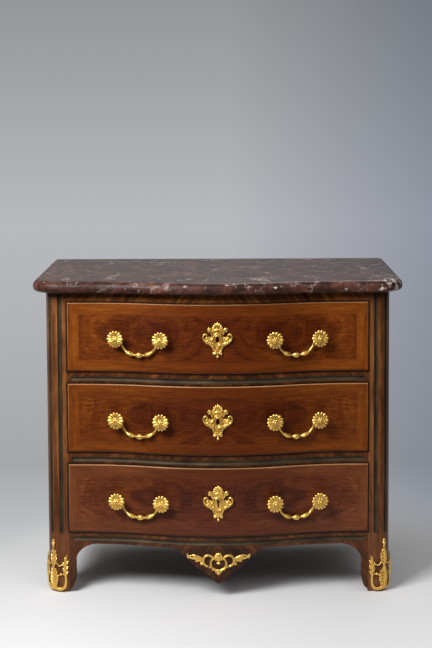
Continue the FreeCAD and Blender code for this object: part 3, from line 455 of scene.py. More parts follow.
def lay(name, body, places, flat_back):
    # Copies of a melted body, set on what carries them as one piece; a place takes mm and gives metres
    metal = bmesh.new()
    for place in places:
        copy = bmesh.new()
        copy.from_mesh(body)
        for point in copy.verts:
            if flat_back:
                point.co.z = max(point.co.z, 0.0)
            point.co = place(point.co)
        pour(copy, metal)
    bmesh.ops.dissolve_degenerate(metal, dist=1e-5, edges=metal.edges)
    bmesh.ops.recalc_face_normals(metal, faces=metal.faces)
    mesh = bpy.data.meshes.new(name)
    metal.to_mesh(mesh)
    metal.free()
    mesh.shade_smooth()
    mesh.materials.append(gilt_bronze)
    piece = bpy.data.objects.new(name, mesh)
    bpy.context.scene.collection.objects.link(piece)
    return piece


def add_piece(piece, body, slot, *replaced):
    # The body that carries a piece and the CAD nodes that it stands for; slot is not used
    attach(piece, body)
    if replaced:
        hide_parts(*replaced)


# In mm: the foot's corner radius, and how far its toe draws in at three heights
FOOT_CORNER = 40.0
TOE = ((0.0, -8.0), (18.0, -1.6), (40.0, 0.0))
SABOT_RAISE = 4.0
SABOT_SHIFT = 7.0
post_low, post_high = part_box("post_front_right")


def toe_in(up):
    # How far the foot draws in towards the floor, in mm
    for (low, low_in), (high, high_in) in zip(TOE, TOE[1:]):
        if up < high:
            return low_in + (high_in - low_in) * max(up - low, 0.0) / (high - low)
    return 0.0


def round_foot(hand):
    # Wraps a flat pattern round the corner of a foot
    corner = Vector((post_high.x * 1000 - FOOT_CORNER, post_low.y * 1000 + FOOT_CORNER))
    quarter = FOOT_CORNER * math.pi / 4

    def place(spot):
        up = spot.y + SABOT_RAISE
        across = spot.x - SABOT_SHIFT
        reach = FOOT_CORNER + toe_in(up) + spot.z
        if abs(across) <= quarter:
            turn = across / FOOT_CORNER + math.pi / 4
            x = corner.x + reach * math.sin(turn)
            y = corner.y - reach * math.cos(turn)
        elif across < 0:
            x = corner.x + (across + quarter)
            y = corner.y - reach
        else:
            x = corner.x + reach
            y = corner.y + (across - quarter)
        return Vector((hand * x, y, up)) / 1000

    return place


shoe = bmesh.new()
# One arm as it lies on a face of the foot: a bend at the floor with a raised rim, then an upright
# with leaves; the other face has its mirror image
rib(shoe, ((2, 6.5, 4.8, 2.6), (11, 4.8, 4.8, 2.8), (20, 5.2, 4.8, 2.8), (27, 9, 4.4, 2.8),
           (31, 17, 4.0, 2.8), (32.5, 28, 3.4, 2.8), (32, 42, 3.0, 2.8), (31, 56, 3.2, 3.0),
           (31, 72, 3.6, 3.0), (33, 86, 2.8, 2.6), (35.5, 98, 0.8, 1.8)), 0.75)
rib(shoe, ((4, 3.4, 1.5, 4.8), (12, 2.0, 1.6, 5.4), (21, 2.8, 1.6, 5.4), (29, 8, 1.4, 5.0),
           (33.5, 17, 1.1, 4.6), (34.9, 28, 0.9, 4.0)), 0.9)
for root, tip, width in (((32, 40), (26.5, 52), 2.8), ((33, 44), (38, 55), 2.6),
                         ((31, 52), (24.5, 65), 3.4), ((32, 57), (38.5, 69), 3.2),
                         ((31, 66), (25.0, 79), 3.4), ((32.5, 71), (39, 83), 3.0),
                         ((32.5, 79), (29.5, 92), 2.6)):
    belly = ((root[0] + tip[0]) / 2, (root[1] + tip[1]) / 2 - 1.5)
    rib(shoe, ((*root, 2.0, 2.6), (*belly, width, 3.6), (*tip, 1.0, 1.8)), 0.8)
rib(shoe, ((32.5, 30, 0.9, 4.6), (31.8, 44, 1.1, 5.4), (31, 62, 1.1, 5.8), (33, 84, 0.8, 4.6)), 1.0)
# Two thin garlands that join the arm to the stalk
rib(shoe, ((30, 49, 1.7, 2.8), (25, 45.5, 1.4, 2.8), (20, 46, 1.6, 3.0), (15, 43, 1.4, 2.8),
           (11, 39, 1.4, 2.6)), 1.0)
bead(shoe, 20.0, 46.5, 3.4, 3.4, 3.4, 2.8)
rib(shoe, ((27, 77, 1.5, 2.4), (22, 71, 1.4, 2.8), (16, 69, 1.5, 3.0), (11, 73, 1.4, 2.8),
           (6, 80, 1.5, 2.6)), 1.0)
bead(shoe, 22.0, 71.5, 2.4, 2.4, 2.6, 2.8)
# Half of the stalk: curls at its knot, the leaflets of its lower and upper leaf
bead(shoe, 7.5, 8.5, 3.4, 3.2, 3.6, 3.0)
for up, reach, width in ((14, 10.0, 2.6), (22, 12.6, 2.9), (30, 13.6, 3.0), (38, 12.8, 2.9),
                         (46, 10.2, 2.6), (54, 6.6, 2.1)):
    rib(shoe, ((0.5, up - 5, 1.8, 5.0), (reach * 0.55, up, width, 5.0), (reach, up + 7, 1.1, 3.0)), 0.8)
for up, reach, width in ((77, 8.0, 2.8), (86, 10.2, 3.2), (95, 9.8, 3.0), (104, 7.0, 2.6)):
    rib(shoe, ((1.0, up - 6, 2.0, 3.4), (reach * 0.6, up - 1, width, 4.0), (reach, up + 4.5, 1.3, 2.6)), 0.85)
both_sides(shoe)
# The stalk itself, with its two swells, its knots, its mid rib and the bud at its top
bead(shoe, 0, 35, 11.5, 27, 3.4, 1.6)
bead(shoe, 0, 93, 7.6, 19, 2.4, 1.2)
bead(shoe, 0, 5.5, 4.8, 4.4, 4.6, 3.0)
bead(shoe, 0, 69, 4.4, 2.8, 4.2, 2.6)
rib(shoe, ((0, 8, 2.6, 4.6), (0, 22, 1.8, 6.2), (0, 42, 1.7, 6.4), (0, 58, 2.4, 5.2), (0, 66, 3.2, 3.8),
           (0, 76, 2.6, 4.2), (0, 95, 2.2, 5.2), (0, 110, 3.0, 4.2), (0, 119, 2.8, 3.2), (0, 125, 3.6, 3.2),
           (0, 130, 5.8, 3.2), (0, 132.5, 3.0, 2.8)), 0.8)
bead(shoe, 0, 136.0, 3.4, 3.6, 3.4, 2.8)
shoe_body = melt(shoe, 0.75)
for hand, side_name in ((1, "right"), (-1, "left")):
    piece = lay("sabot_casting_" + side_name, shoe_body, [round_foot(hand)], True)
    add_piece(piece, "carcase", "gilt_bronze", "sabot_" + side_name)


# Apron mount: an openwork gilt bronze casting of two scrolls, a palmette and leaf sprigs,
# pinned flat on the drop of the apron.

# The front's middle bow, in mm
BOW_RADIUS = 700.28


def on_bow(crown, height):
    # Lays a flat pattern on the curved front; crown is the face's foremost point, and height the
    # pattern's middle, in metres
    def place(spot):
        turn = spot.x / BOW_RADIUS
        reach = BOW_RADIUS + spot.z
        x = reach * math.sin(turn)
        y = crown * 1000 + BOW_RADIUS - reach * math.cos(turn)
        return Vector((x, y, height * 1000 + spot.y)) / 1000

    return place


APRON_MOUNT_MIDDLE = 0.093
spray = bmesh.new()
# Half of the heart-shaped frame, the scroll beside it with its curl, and the sprig
rib(spray, ((9, 15, 2.4, 2.8), (15.5, 12, 2.8, 3.2), (19.5, 6, 3.0, 3.4), (20, -2, 3.1, 3.4),
            (17.5, -9, 3.1, 3.4), (11.5, -14, 3.0, 3.4), (5, -16.6, 2.8, 3.2), (0, -17, 2.6, 3.0)), 0.9)
rib(spray, ((15, 9, 0.8, 5.6), (20.5, 2, 0.9, 6.2), (18.5, -8, 0.9, 6.2), (12, -14.5, 0.9, 6.0),
            (4, -17.5, 0.8, 5.6)), 1.0)
rib(spray, ((10, 13, 3.0, 2.8), (17, 19, 3.2, 3.4), (26, 23, 3.4, 3.6), (35, 19.5, 3.4, 3.6),
            (40, 11.5, 3.4, 3.6), (38.5, 2, 3.2, 3.4), (32.5, -5, 3.0, 3.2), (26.5, -7, 2.6, 3.0)), 0.9)
rib(spray, ((12, 19, 0.9, 5.6), (25, 23.6, 1.1, 6.4), (35, 20, 1.1, 6.6), (40.4, 12, 1.1, 6.6),
            (39.5, 3, 0.9, 6.0)), 1.0)
rib(spray, ((38, 6, 2.6, 2.6), (42, 0, 2.6, 3), (45.5, -1.5, 2.4, 3), (46, 2.5, 1.8, 2.8),
            (43, 3.5, 1.6, 2.6)), 0.9)
bead(spray, 43.6, -1.0, 3.6, 3.4, 3.0, 2.4)
for stations in (((40, 12, 2.0, 2.4), (47, 14.5, 4.0, 2.8), (57, 18.5, 4.6, 2.8), (65, 21.5, 3.4, 2.6),
                  (70, 22.5, 1.2, 2)),
                 ((41, 9, 1.8, 2.4), (49, 8.5, 2.8, 2.6), (56, 7.5, 3.0, 2.4), (62, 6.0, 1.0, 1.8)),
                 ((48, 12, 1.6, 2.4), (58, 12.5, 2.6, 2.6), (70, 14.5, 2.8, 2.6), (77, 17.5, 1.6, 2.2)),
                 ((66, 21.5, 1.4, 2.2), (74, 21, 1.6, 2.4), (80, 19, 1.8, 2.4)),
                 ((78, 12.5, 1.2, 1.8), (80, 19, 2.4, 2.4), (81.5, 25.5, 1.4, 1.8))):
    rib(spray, stations, 0.7)
rib(spray, ((44, 13, 0.8, 4.6), (56, 18, 1.0, 5.4), (67, 21.5, 0.7, 4.2)), 1.0)
# Half of the palmette above the heart, and the leaves under it
PALMETTE_FOOT = 12
for turn, reach in ((0.34, 17.5), (0.74, 14.5), (1.15, 12.0)):
    tip = (reach * math.sin(turn), PALMETTE_FOOT + reach * math.cos(turn))
    belly = (tip[0] * 0.62, PALMETTE_FOOT + (tip[1] - PALMETTE_FOOT) * 0.64)
    rib(spray, ((1.5, 11, 1.6, 2.6), (*belly, 3.0, 3.8), (*tip, 1.4, 2.4)), 0.9)
for root, tip in (((20, -7), (25.5, -12)), ((13, -14), (17.5, -19)), ((5, -17), (10, -23)),
                  ((2, -21), (5.5, -27.5))):
    belly = ((root[0] + tip[0]) / 2, (root[1] + tip[1]) / 2)
    rib(spray, ((*root, 2.0, 2.6), (*belly, 2.6, 2.8), (*tip, 1.0, 1.8)), 0.85)
both_sides(spray)
# The palmette's middle leaf, the bead in the heart and the leafy point
rib(spray, ((0, 8, 3.0, 3.0), (0, 19, 4.4, 4.2), (0, 27, 3.0, 3.4), (0, 31, 0.8, 2)), 0.9)
bead(spray, 0, 12, 13.0, 5.0, 3.4, 1.8)
bead(spray, 0, 2.0, 6.0, 3.4, 4.6, 3.2)
rib(spray, ((0, 10, 2.6, 2.4), (0, 6, 2.4, 2.8), (0, 2, 2.2, 3)), 0.9)
rib(spray, ((0, -15, 4.6, 3.2), (0, -20, 5.6, 3.8), (0, -26, 3.6, 3.4), (0, -31.5, 0.9, 2.2)), 0.7)
apron_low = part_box("apron")[0]
piece = lay("apron_mount_casting", melt(spray, 0.75), [on_bow(apron_low.y, APRON_MOUNT_MIDDLE)], True)
add_piece(piece, "carcase", "gilt_bronze", "apron_mount")


# Drawer fronts: softwood sawn to the serpentine curve, faced with kingwood opened from the
# middle inside a quiet border; the boxes behind are thin oak, dovetailed and left bare.

OAK = ("#5d4128", "#7d5c3a", "#9a7850")
oak_deep = plank("aged_oak_deep", (8, 220, 8), OAK, 0.7)
oak_level = plank("aged_oak_level", (220, 8, 8), OAK, 0.7)
# Painted light: the top drawer's shades are lighter and the lowest drawer's darker and greyer, for how light
# falls on the three fronts
LIT_FIELD_SHADES = {"bottom": ("#3f1f0d", "#6d381b", "#8d532b"), "middle": ("#3f1b05", "#71370b", "#955317"),
                "top": ("#431d06", "#783a0b", "#9a5717")}
LIT_EDGE_SHADES = {"bottom": ("#4d2710", "#65351a", "#794726"), "middle": ("#522607", "#6e360b", "#854914"),
               "top": ("#582a09", "#783c0c", "#905016")}
DRAWER_HEART = (0.185, 0.012)
DRAWER_SPREAD = (0.13, 0.055)
FIRST_SEED = 0.9
SEED_STEP = 1.7
for place, drawer in enumerate(drawers):
    low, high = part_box(drawer + "_drawer_front")
    middle = (low + high) / 2
    half = (high - low) / 2
    dress(figured_veneer("kingwood_veneer_" + drawer, 0, (0, -1, 0), (0.0, middle.z), (half.x, half.z),
                         DRAWER_HEART, DRAWER_SPREAD, SEED_STEP * place + FIRST_SEED,
                         LIT_FIELD_SHADES[drawer], LIT_EDGE_SHADES[drawer]), drawer + "_drawer_front")
    dress(oak_deep, drawer + "_drawer_side_left", drawer + "_drawer_side_right")
    dress(oak_level, drawer + "_drawer_back", drawer + "_drawer_bottom")


# Locks: forged iron cases let into the back of each drawer front, with a bolt that the key
# lifts; the iron was filed bright once and is now brown-grey.

lock_iron, tree, shader = surface("forged_iron", {"Metallic": 1.0})
place = add(tree, "TexCoord").outputs["Object"]
scale_marks = add(tree, "TexNoise",
                  inputs={"Vector": place, "Scale": 1000 / 9, "Detail": 5.0, "Roughness": 0.65})
iron = add(tree, "ValToRGB", inputs={0: scale_marks.outputs[0]},
           stops=((0.32, "#2e2a27"), (0.7, "#76716c"), (0.5, "#4d4844")))
tree.links.new(iron.outputs[0], shader.inputs["Base Color"])
filing = add(tree, "MapRange", inputs={0: scale_marks.outputs[0], 1: 0.3, 2: 0.7, 3: 0.65, 4: 0.4})
tree.links.new(filing.outputs[0], shader.inputs["Roughness"])
for drawer in drawers:
    dress(lock_iron, drawer + "_lock_case", drawer + "_lock_bolt")


# Key plates: gilt bronze castings pinned over the keyholes, with a shell crown, scrolled
# ears, a ringed oval and a three-lobed drop. The lowest one has a plain shield in place of the ring.

SHELL_FOOT = 21.5
PLATE_NARROWING = 0.88


def key_plate(ringed):
    plate = bmesh.new()
    # Half of the shell crown: lobes along its top, and a curl at its end
    for turn, reach in ((0.30, 23.6), (0.62, 22.0), (0.95, 19.5)):
        tip = (reach * math.sin(turn), SHELL_FOOT + reach * math.cos(turn))
        root, belly = [(tip[0] * share, SHELL_FOOT + (tip[1] - SHELL_FOOT) * share) for share in (0.3, 0.78)]
        rib(plate, ((*root, 2.2, 2.8), (*belly, 3.3, 3.6), (*tip, 1.5, 2.4)), 0.9)
    rib(plate, ((15, 13, 2.6, 2.4), (18.5, 19, 2.8, 3), (20, 26, 2.8, 3.2), (24.5, 30, 2.6, 3.2),
                (28.3, 26.5, 2.4, 3.2), (26.5, 21.5, 2.2, 3), (22.8, 22.5, 2, 3)), 0.95)
    bead(plate, 24.2, 25, 2.8, 2.8, 2.8, 3.0)
    # Half of the ear: a scroll that turns in at its top, and the leaf along its lower edge
    rib(plate, ((13, -11, 3.4, 2.4), (22, -10.5, 3.6, 3), (32, -6.5, 3.4, 3.2), (39.5, 0, 3.2, 3.4),
                (41.8, 8, 3.0, 3.4), (37.5, 14.2, 2.8, 3.2), (31.5, 12.5, 2.4, 3), (30.8, 7, 2.2, 3),
                (34.5, 5.2, 2.4, 3.2)), 0.9)
    rib(plate, ((14, 2, 3.4, 2.2), (21, -1, 3.4, 2.8), (28, 1.5, 2.8, 2.8), (31, 6, 2.0, 2.6)), 0.8)
    for tip in ((37.5, -5.0), (31.0, -11.0), (24.0, -16.5), (17.0, -21.5)):
        rib(plate, ((tip[0] * 0.55 + 3, tip[1] * 0.5, 2.4, 2.4), (tip[0] * 0.84, tip[1] * 0.82, 3.4, 3.2),
                    (*tip, 1.2, 1.8)), 0.85)
    # Half of the lobed drop
    rib(plate, ((13, -20, 2.8, 2.6), (11.5, -26, 2.6, 3), (6.5, -31, 2.6, 3), (3.5, -27, 2.0, 2.8)), 0.9)
    bead(plate, 10.0, -35.5, 5.0, 4.6, 3.4, 2.2)
    rib(plate, ((2, -33, 1.4, 3.4), (7, -34, 1.4, 4.8), (12, -37, 0.9, 4.0)), 1.0)
    both_sides(plate)
    # What lies on the middle line, then the low ground that joins it all
    rib(plate, ((0, 24, 2.6, 3.0), (0, 38, 3.6, 4), (0, 44, 2.6, 3.2), (0, 47.6, 1.0, 2.2)), 0.9)
    rib(plate, ((-14, 21.5, 1.6, 3.6), (-7, 25.5, 2.4, 4.8), (0, 27, 2.6, 5.2), (7, 25.5, 2.4, 4.8),
                (14, 21.5, 1.6, 3.6)), 0.9)
    rib(plate, ((0, -17, 3.0, 3), (0, -25, 4.4, 3.8), (0, -33, 2.8, 3.6), (0, -39, 1.4, 2.6)), 0.8)
    bead(plate, 0, -44, 4.3, 4.3, 3.6, 2.6)
    for lump in ((0, 28, 16, 14, 2.6), (0, 23, 24, 8.5, 2.4), (0, -3, 20, 21, 1.7), (25, -1, 14, 9, 2.2),
                 (-25, -1, 14, 9, 2.2), (0, -20, 17, 8, 2.4), (0, -31, 11, 8, 2.6)):
        bead(plate, *lump, 0.5)
    if ringed:
        turns = [math.tau * step / 14 for step in range(15)]
        for half_width, half_height, width, out in ((13.2, 16.2, 2.2, 3.2), (8.2, 11.4, 1.5, 2.8)):
            ring = [(half_width * math.sin(turn), half_height * math.cos(turn), width, out) for turn in turns]
            rib(plate, ring, 0.95)
    else:
        bead(plate, 0, 0, 15.0, 17.0, 3.6, 1.4)
        rim = ((10, 17, 1.6, 2.8), (15, 9, 2.0, 3.2), (14.5, -4, 2.0, 3.4), (8, -15, 2.2, 3.4),
               (0, -19, 2.4, 3.4))
        for sign in (1, -1):
            rib(plate, [(sign * across, up, width, out) for across, up, width, out in rim], 0.9)
    bmesh.ops.scale(plate, vec=(PLATE_NARROWING, 1, 1), verts=plate.verts)
    return plate


PIERCED_OVAL = (0.0050, 0.0086)
KEYHOLE_RADIUS = 0.0035
KEYHOLE_SLOT = 0.0046
KEYHOLE_HEIGHT = 0.019
CUTTER_DEPTH = 0.03
for drawer in drawers:
    low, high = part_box(drawer + "_drawer_front")
    keyhole = (low.z + high.z) / 2
    plate_body = melt(key_plate(drawer != "bottom"), 0.7)
    piece = lay(drawer + "_key_plate", plate_body, [on_bow(low.y, keyhole)], True)
    # The plain shield has a keyhole, the ringed plates an open oval
    cutter = bmesh.new()
    if drawer == "bottom":
        eye = Matrix.Translation((0, low.y, keyhole + KEYHOLE_HEIGHT / 2 - KEYHOLE_RADIUS))
        bore = eye @ Matrix.Rotation(math.pi / 2, 4, "X")
        rod(cutter, KEYHOLE_RADIUS, CUTTER_DEPTH, bore, 24)
        slot_size = Matrix.Diagonal((KEYHOLE_SLOT, CUTTER_DEPTH, KEYHOLE_HEIGHT - KEYHOLE_RADIUS, 1.0))
        slot = Matrix.Translation((0, low.y, keyhole - KEYHOLE_RADIUS / 2)) @ slot_size
        bmesh.ops.create_cube(cutter, size=1.0, matrix=slot)
    else:
        bore = (Matrix.Translation((0, low.y, keyhole)) @ Matrix.Rotation(math.pi / 2, 4, "X")
                @ Matrix.Diagonal((*PIERCED_OVAL, 1.0, 1.0)))
        rod(cutter, 1.0, CUTTER_DEPTH, bore, 32)
    tool_mesh = bpy.data.meshes.new("keyhole")
    cutter.to_mesh(tool_mesh)
    cutter.free()
    tool = bpy.data.objects.new("keyhole", tool_mesh)
    bpy.context.scene.collection.objects.link(tool)
    cut = piece.modifiers.new("keyhole", "BOOLEAN")
    cut.object = tool
    cut.solver = "EXACT"
    cut.use_self = True
    pierced = bpy.data.meshes.new_from_object(piece.evaluated_get(bpy.context.evaluated_depsgraph_get()))
    piece.modifiers.clear()
    piece.data = pierced
    bpy.data.objects.remove(tool)
    bpy.data.meshes.remove(tool_mesh)
    add_piece(piece, drawer + "_drawer", "gilt_bronze", drawer + "_escutcheon")


# Rosettes: cast and gilded flowers of two rows of petals on a round post; the post's stem goes
# through the drawer front and a square nut holds it inside.

# A handle's middle on the drawer's face and the sizes of its parts, in mm; the turn follows the curve
HANDLE_MIDDLE = (201.75, -225.455)
HANDLE_TURN = math.radians(11.894)
HANDLE_HALF = 60.04
FRONT_THICKNESS = 24.0
POST_RADIUS = 7.0
POST_LENGTH = 24.0
STEM_RADIUS = 3.5
STEM_END = 6
NUT_WIDTH = 12
NUT_THICKNESS = 3.6
NUT_MIDDLE = 1.9


def on_handle(hand, height, shift=0.0):
    # From a handle's own frame, across, up and out of the drawer's face, to its place on a drawer
    def place(spot):
        across = spot.x + shift
        x = HANDLE_MIDDLE[0] + across * math.cos(HANDLE_TURN) + spot.z * math.sin(HANDLE_TURN)
        y = HANDLE_MIDDLE[1] + across * math.sin(HANDLE_TURN) - spot.z * math.cos(HANDLE_TURN)
        return Vector((hand * x, y, height * 1000 + spot.y)) / 1000

    return place


def petals(flower, count, stations, thick, first):
    # A row of petals round the middle, each with a ridge along it
    petal = bmesh.new()
    rib(petal, stations, thick)
    ridge = [(across, up, width * 0.22, height + width * thick * 0.8)
             for across, up, width, height in stations]
    rib(petal, ridge, 1.0, 6)
    bmesh.ops.rotate(petal, cent=(0, 0, 0), matrix=Matrix.Rotation(first, 3, "Z"), verts=petal.verts)
    whole = petal.verts[:] + petal.edges[:] + petal.faces[:]
    bmesh.ops.spin(petal, geom=whole, cent=(0, 0, 0), axis=(0, 0, 1), angle=math.tau * (count - 1) / count,
                   steps=count - 1, use_duplicate=True)
    pour(petal, flower)


flower = bmesh.new()
petals(flower, 14, ((4, 0, 1.5, 27.0), (9, 0, 2.4, 28.0), (15, 0, 3.5, 27.6), (19.3, 0, 3.8, 27.0),
                    (22.4, 0, 2.0, 26.2)), 0.62, 0.0)
petals(flower, 7, ((1.5, 0, 1.2, 29.6), (5, 0, 2.0, 30.4), (8.4, 0, 1.0, 29.2)), 0.6, 0.2)
bead(flower, 0, 0, 2.8, 2.8, 2.2, 31.0)
bead(flower, 0, 0, 13, 13, 4.0, 25)
for radius, base, top in ((POST_RADIUS, 0.0, POST_LENGTH), (STEM_RADIUS, -FRONT_THICKNESS - STEM_END, 1.0)):
    shaft = Matrix.Translation((0, 0, (base + top) / 2))
    rod(flower, radius, top - base, shaft, 32)
nut_size = Matrix.Diagonal((NUT_WIDTH, NUT_WIDTH, NUT_THICKNESS, 1.0))
nut = Matrix.Translation((0, 0, -FRONT_THICKNESS - NUT_MIDDLE)) @ nut_size
bmesh.ops.create_cube(flower, size=1.0, matrix=nut)
flower_body = melt(flower, 0.6)
for drawer in drawers:
    low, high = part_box(drawer + "_drawer_front")
    spots = [on_handle(hand, (low.z + high.z) / 2, shift)
             for hand in (1, -1) for shift in (HANDLE_HALF, -HANDLE_HALF)]
    piece = lay(drawer + "_rosette_flowers", flower_body, spots, False)
    add_piece(piece, drawer + "_drawer", "gilt_bronze", drawer + "_rosettes")


# Bails: cast drop handles that swing on pins in the rosettes' posts: a thin loop with two leaf
# swells and a pointed bead in the middle.

# In mm, but the squareness is the power of the loop's superellipse
BAIL_HALF_WIDTH = 48.0
BAIL_DROP = 43.0
BAIL_SQUARENESS = 2.4
PIVOT_OUT = 10.0
KNUCKLE_RADIUS = 3.8
PIN_RADIUS = 2.0
PIN_LENGTH = 11
PIN_MIDDLE = 4
# Shares of half a bail from its middle, and the bar's radius there
BAIL_TURNING = ((0.0, 7.4), (0.03, 6.8), (0.065, 5.0), (0.1, 2.6), (0.135, 2.6), (0.18, 4.4), (0.25, 5.8),
                (0.33, 5.8), (0.42, 4.2), (0.5, 3.0), (0.7, 2.9), (0.86, 2.9), (1.0, 3.0))
# The ridges on its leaves: share, rise over the bar's middle, and spread
LEAF_RIDGE = ((0.15, 2.2, 0.0), (0.2, 4.4, 0.8), (0.29, 5.6, 1.0), (0.38, 4.6, 0.8), (0.46, 2.8, 0.0))


def bail_spot(share):
    # Across and up, on the bar's middle line
    turn = abs(share) * math.pi / 2
    power = 2 / BAIL_SQUARENESS
    across = math.copysign(BAIL_HALF_WIDTH * math.sin(turn) ** power, share)
    return across, -BAIL_DROP * max(math.cos(turn), 0.0) ** power


handle = bmesh.new()
for sign in (1, -1):
    rib(handle, [(*bail_spot(sign * share), radius, PIVOT_OUT) for share, radius in BAIL_TURNING], 0.95, 14)
    for lift in (0.0, 2.6, -2.6):
        ridge = []
        for share, rise, shape in LEAF_RIDGE:
            across, up = bail_spot(sign * share)
            ridge.append((across, up + lift * shape, 0.9, PIVOT_OUT + rise - abs(lift) * 0.35))
        rib(handle, ridge, 1.0, 8)
    bead(handle, sign * BAIL_HALF_WIDTH, 0, KNUCKLE_RADIUS, KNUCKLE_RADIUS, KNUCKLE_RADIUS, PIVOT_OUT)
    pin_spot = Matrix.Translation((sign * (BAIL_HALF_WIDTH + PIN_MIDDLE), 0, PIVOT_OUT))
    pin = pin_spot @ Matrix.Rotation(math.pi / 2, 4, "Y")
    rod(handle, PIN_RADIUS, PIN_LENGTH, pin, 20)
handle_body = melt(handle, 0.5)
for drawer in drawers:
    low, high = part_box(drawer + "_drawer_front")
    for hand, side_name in ((1, "right"), (-1, "left")):
        spots = [on_handle(hand, (low.z + high.z) / 2)]
        piece = lay(f"{drawer}_bail_loop_{side_name}", handle_body, spots, False)
        add_piece(piece, f"{drawer}_bail_{side_name}", "gilt_bronze", f"{drawer}_bail_{side_name}")


# Marble top: one slab of liver-red marble with grey clouds and broken pale veins, moulded round
# its front and side edges, polished, and lying loose on the case.

slab_low, slab_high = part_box("marble_top")
WHITE_PATCH = (slab_high.x - 0.02, slab_low.y + 0.075, slab_high.z - 0.012)
marble, tree, shader = surface("polished_marble", {})
spot = add(tree, "TexCoord")
place = spot.outputs["Object"]
# The flat top is ground and polished bright, the moulded edge by hand and duller
facing = add(tree, "SeparateXYZ", inputs={0: spot.outputs["Normal"]})
dullness = add(tree, "MapRange", inputs={0: facing.outputs[2], 1: 0.9, 2: 0.99, 3: 0.46, 4: 0.25})
tree.links.new(dullness.outputs[0], shader.inputs["Roughness"])
gloss = add(tree, "MapRange", inputs={0: facing.outputs[2], 1: 0.9, 2: 0.99, 3: 0.2, 4: 0.46})
tree.links.new(gloss.outputs[0], shader.inputs["Specular IOR Level"])
bed = add(tree, "TexNoise", inputs={"Vector": place, "Scale": 1000 / 60, "Detail": 8.0, "Roughness": 0.72,
                                    "Distortion": 0.8})
stone = add(tree, "ValToRGB", inputs={0: bed.outputs[0]},
            stops=((0.32, "#170c09"), (0.7, "#7d5a4b"), (0.45, "#331c15"), (0.57, "#522f24")))
# Thin pale veins, broken off here and there and weaker on the edge
vein_bend = add(tree, "VectorMath", {"operation": "MULTIPLY_ADD"},
                {0: bed.outputs["Color"], 1: (0.11, 0.11, 0.11), 2: place})
crackle = add(tree, "TexVoronoi", {"feature": "DISTANCE_TO_EDGE"}, {"Vector": vein_bend, "Scale": 1000 / 130})
thread = add(tree, "MapRange", inputs={0: crackle.outputs[0], 1: 0.003, 2: 0.013, 3: 1.0, 4: 0.0})
breaks = add(tree, "TexNoise", inputs={"Vector": place, "Scale": 1000 / 75, "Detail": 3.0})
vein_share = add(tree, "MapRange", inputs={0: facing.outputs[2], 1: 0.9, 2: 0.99, 3: 0.4, 4: 0.8})
broken = add(tree, "MapRange", inputs={0: breaks.outputs[0], 1: 0.45, 2: 0.63, 3: 0.0, 4: vein_share})
vein = add(tree, "Math", {"operation": "MULTIPLY"}, {0: thread, 1: broken})
veined = add(tree, "Mix", BLEND, {0: vein, 6: stone, 7: "#d0bfb4"})
specks = add(tree, "TexNoise", inputs={"Vector": place, "Scale": 1000 / 16, "Detail": 5.0, "Roughness": 0.68})
speck = add(tree, "MapRange", inputs={0: specks.outputs[0], 1: 0.66, 2: 0.74, 3: 0.0, 4: 0.4})
flecked = add(tree, "Mix", BLEND, {0: speck, 6: veined.outputs[2], 7: "#b9a297"})
# A patch of white spar at the right front corner, which also stands as a painted highlight there
from_corner = add(tree, "VectorMath", {"operation": "DISTANCE"}, {0: place, 1: WHITE_PATCH})
corner = add(tree, "MapRange", inputs={0: from_corner.outputs["Value"], 1: 0.01, 2: 0.085, 3: 0.14, 4: 0.0})
spar_and_highlight = add(tree, "Math", {"operation": "ADD"}, {0: specks.outputs[0], 1: corner})
spar_and_highlight_share = add(tree, "MapRange", inputs={0: spar_and_highlight, 1: 0.64, 2: 0.7, 3: 0.0, 4: 0.85})
patched = add(tree, "Mix", BLEND, {0: spar_and_highlight_share, 6: flecked.outputs[2], 7: "#dccfc6"})
tree.links.new(patched.outputs[2], shader.inputs["Base Color"])
dress(marble, "marble_top")


# Studio: a pale floor that fades out, a backdrop that only camera, gloss and glass rays see, a
# soft lamp on the left, a weaker one on the right and another behind.

FADE_MIDDLE = (0.2, -0.3, 0.0)
FADE_START = 0.6
FADE_END = 1.15
floor_mesh = bpy.data.meshes.new("studio_floor")
paper = bmesh.new()
bmesh.ops.create_circle(paper, cap_ends=True, segments=96, radius=3.0)
paper.to_mesh(floor_mesh)
paper.free()
floor = bpy.data.objects.new("studio_floor", floor_mesh)
bpy.context.scene.collection.objects.link(floor)
floor_paper, tree, shader = surface("white_paper", {"Base Color": "#d2d2d3", "Roughness": 0.9})
reach = add(tree, "VectorMath", {"operation": "DISTANCE"},
            {0: add(tree, "TexCoord").outputs["Object"], 1: FADE_MIDDLE})
fade = add(tree, "MapRange", {"interpolation_type": "SMOOTHSTEP"},
           {0: reach.outputs["Value"], 1: FADE_START, 2: FADE_END, 3: 1.0, 4: 0.0})
tree.links.new(fade.outputs[0], shader.inputs["Alpha"])
floor_mesh.materials.append(floor_paper)

world = bpy.data.worlds.new("studio")
bpy.context.scene.world = world
world.use_nodes = True
tree = world.node_tree
tree.nodes.clear()
look = add(tree, "SeparateXYZ", inputs={0: add(tree, "TexCoord").outputs["Generated"]})
backdrop = add(tree, "MapRange", inputs={0: look.outputs[2], 1: -0.40, 2: 0.10, 3: 0.0, 4: 1.0})
shade = add(tree, "ValToRGB", inputs={0: backdrop},
            stops=((0.0, "#f4f5f6"), (1.0, "#8b8d8e"), (0.10, "#e6e7e8"), (0.20, "#c2c3c4"),
                   (0.30, "#a6a7a8"), (0.46, "#b0b1b4"), (0.62, "#b8b9bd"), (0.80, "#a3a5a7")))
path = add(tree, "LightPath")
right_dusk = add(tree, "MapRange", inputs={0: look.outputs[0], 1: 0.0, 2: 0.15, 3: 0.0, 4: 1.0})
dusk = add(tree, "Mix", STAIN, {0: right_dusk, 6: shade, 7: "#c9cedb"})
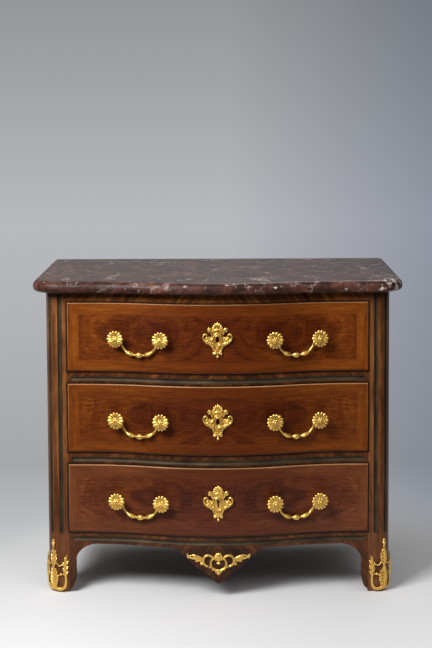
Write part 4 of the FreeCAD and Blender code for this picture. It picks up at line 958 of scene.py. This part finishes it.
# The studio is dim on the camera's side of the object, so gloss that faces it stays deep
behind = add(tree, "MapRange", inputs={0: look.outputs[1], 1: -0.5, 2: 0.4, 3: 0.2, 4: 1.0})
level = add(tree, "Math", {"operation": "MAXIMUM"}, {0: behind, 1: path.outputs["Is Camera Ray"]})
sky = add(tree, "Background", inputs={0: dusk.outputs[2], 1: level})
ceiling = add(tree, "MapRange", inputs={0: look.outputs[2], 1: 0.05, 2: 0.8, 3: 0.0, 4: 0.38})
room = add(tree, "Background", inputs={0: "#ffffff", 1: ceiling})
mirror = add(tree, "Math", {"operation": "MAXIMUM"},
             {0: path.outputs["Is Camera Ray"], 1: path.outputs["Is Glossy Ray"]})
seen = add(tree, "Math", {"operation": "MAXIMUM"}, {0: mirror, 1: path.outputs["Is Transmission Ray"]})
either = add(tree, "MixShader", inputs={0: seen, 1: room, 2: sky})
add(tree, "OutputWorld", inputs={"Surface": either})

# Each lamp's place, side and watts; all face the chest's middle
LAMPS = (("key", (-1.4, -1.85, 2.3), 1.2, 116.0), ("fill", (1.7, -2.4, 2.9), 1.8, 24.0),
         ("rim", (0.6, 2.4, 3.4), 1.8, 22.0))
LAMP_TARGET = Vector((0, 0, 0.45))
for name, spot, size, watts in LAMPS:
    lamp = bpy.data.lights.new(name, "AREA")
    lamp.shape = "SQUARE"
    lamp.size = size
    lamp.energy = watts
    holder = bpy.data.objects.new(name, lamp)
    holder.location = spot
    holder.rotation_euler = (LAMP_TARGET - Vector(spot)).to_track_quat("-Z", "Y").to_euler()
    bpy.context.scene.collection.objects.link(holder)


# Camera: a long lens well above the chest's top, a little to the right of the middle, tilted down
# and shifted for an upright frame.

CAMERA_PLACE = (0.0280, -3.9278, 1.3175)
CAMERA_HEADING = math.radians(0.469)
CAMERA_TILT = math.radians(90 - 4.04)
CAMERA_ROLL = math.radians(-0.271)
lens = bpy.data.cameras.new("camera")
lens.sensor_fit = "VERTICAL"
lens.sensor_height = 36.0
lens.lens = 80.06
lens.shift_y = -0.2
camera = bpy.data.objects.new("camera", lens)
camera.matrix_world = (Matrix.Translation(CAMERA_PLACE) @ Matrix.Rotation(CAMERA_HEADING, 4, "Z")
                       @ Matrix.Rotation(CAMERA_TILT, 4, "X") @ Matrix.Rotation(CAMERA_ROLL, 4, "Z"))
bpy.context.scene.collection.objects.link(camera)
bpy.context.scene.camera = camera
bpy.context.scene.view_settings.view_transform = "Standard"
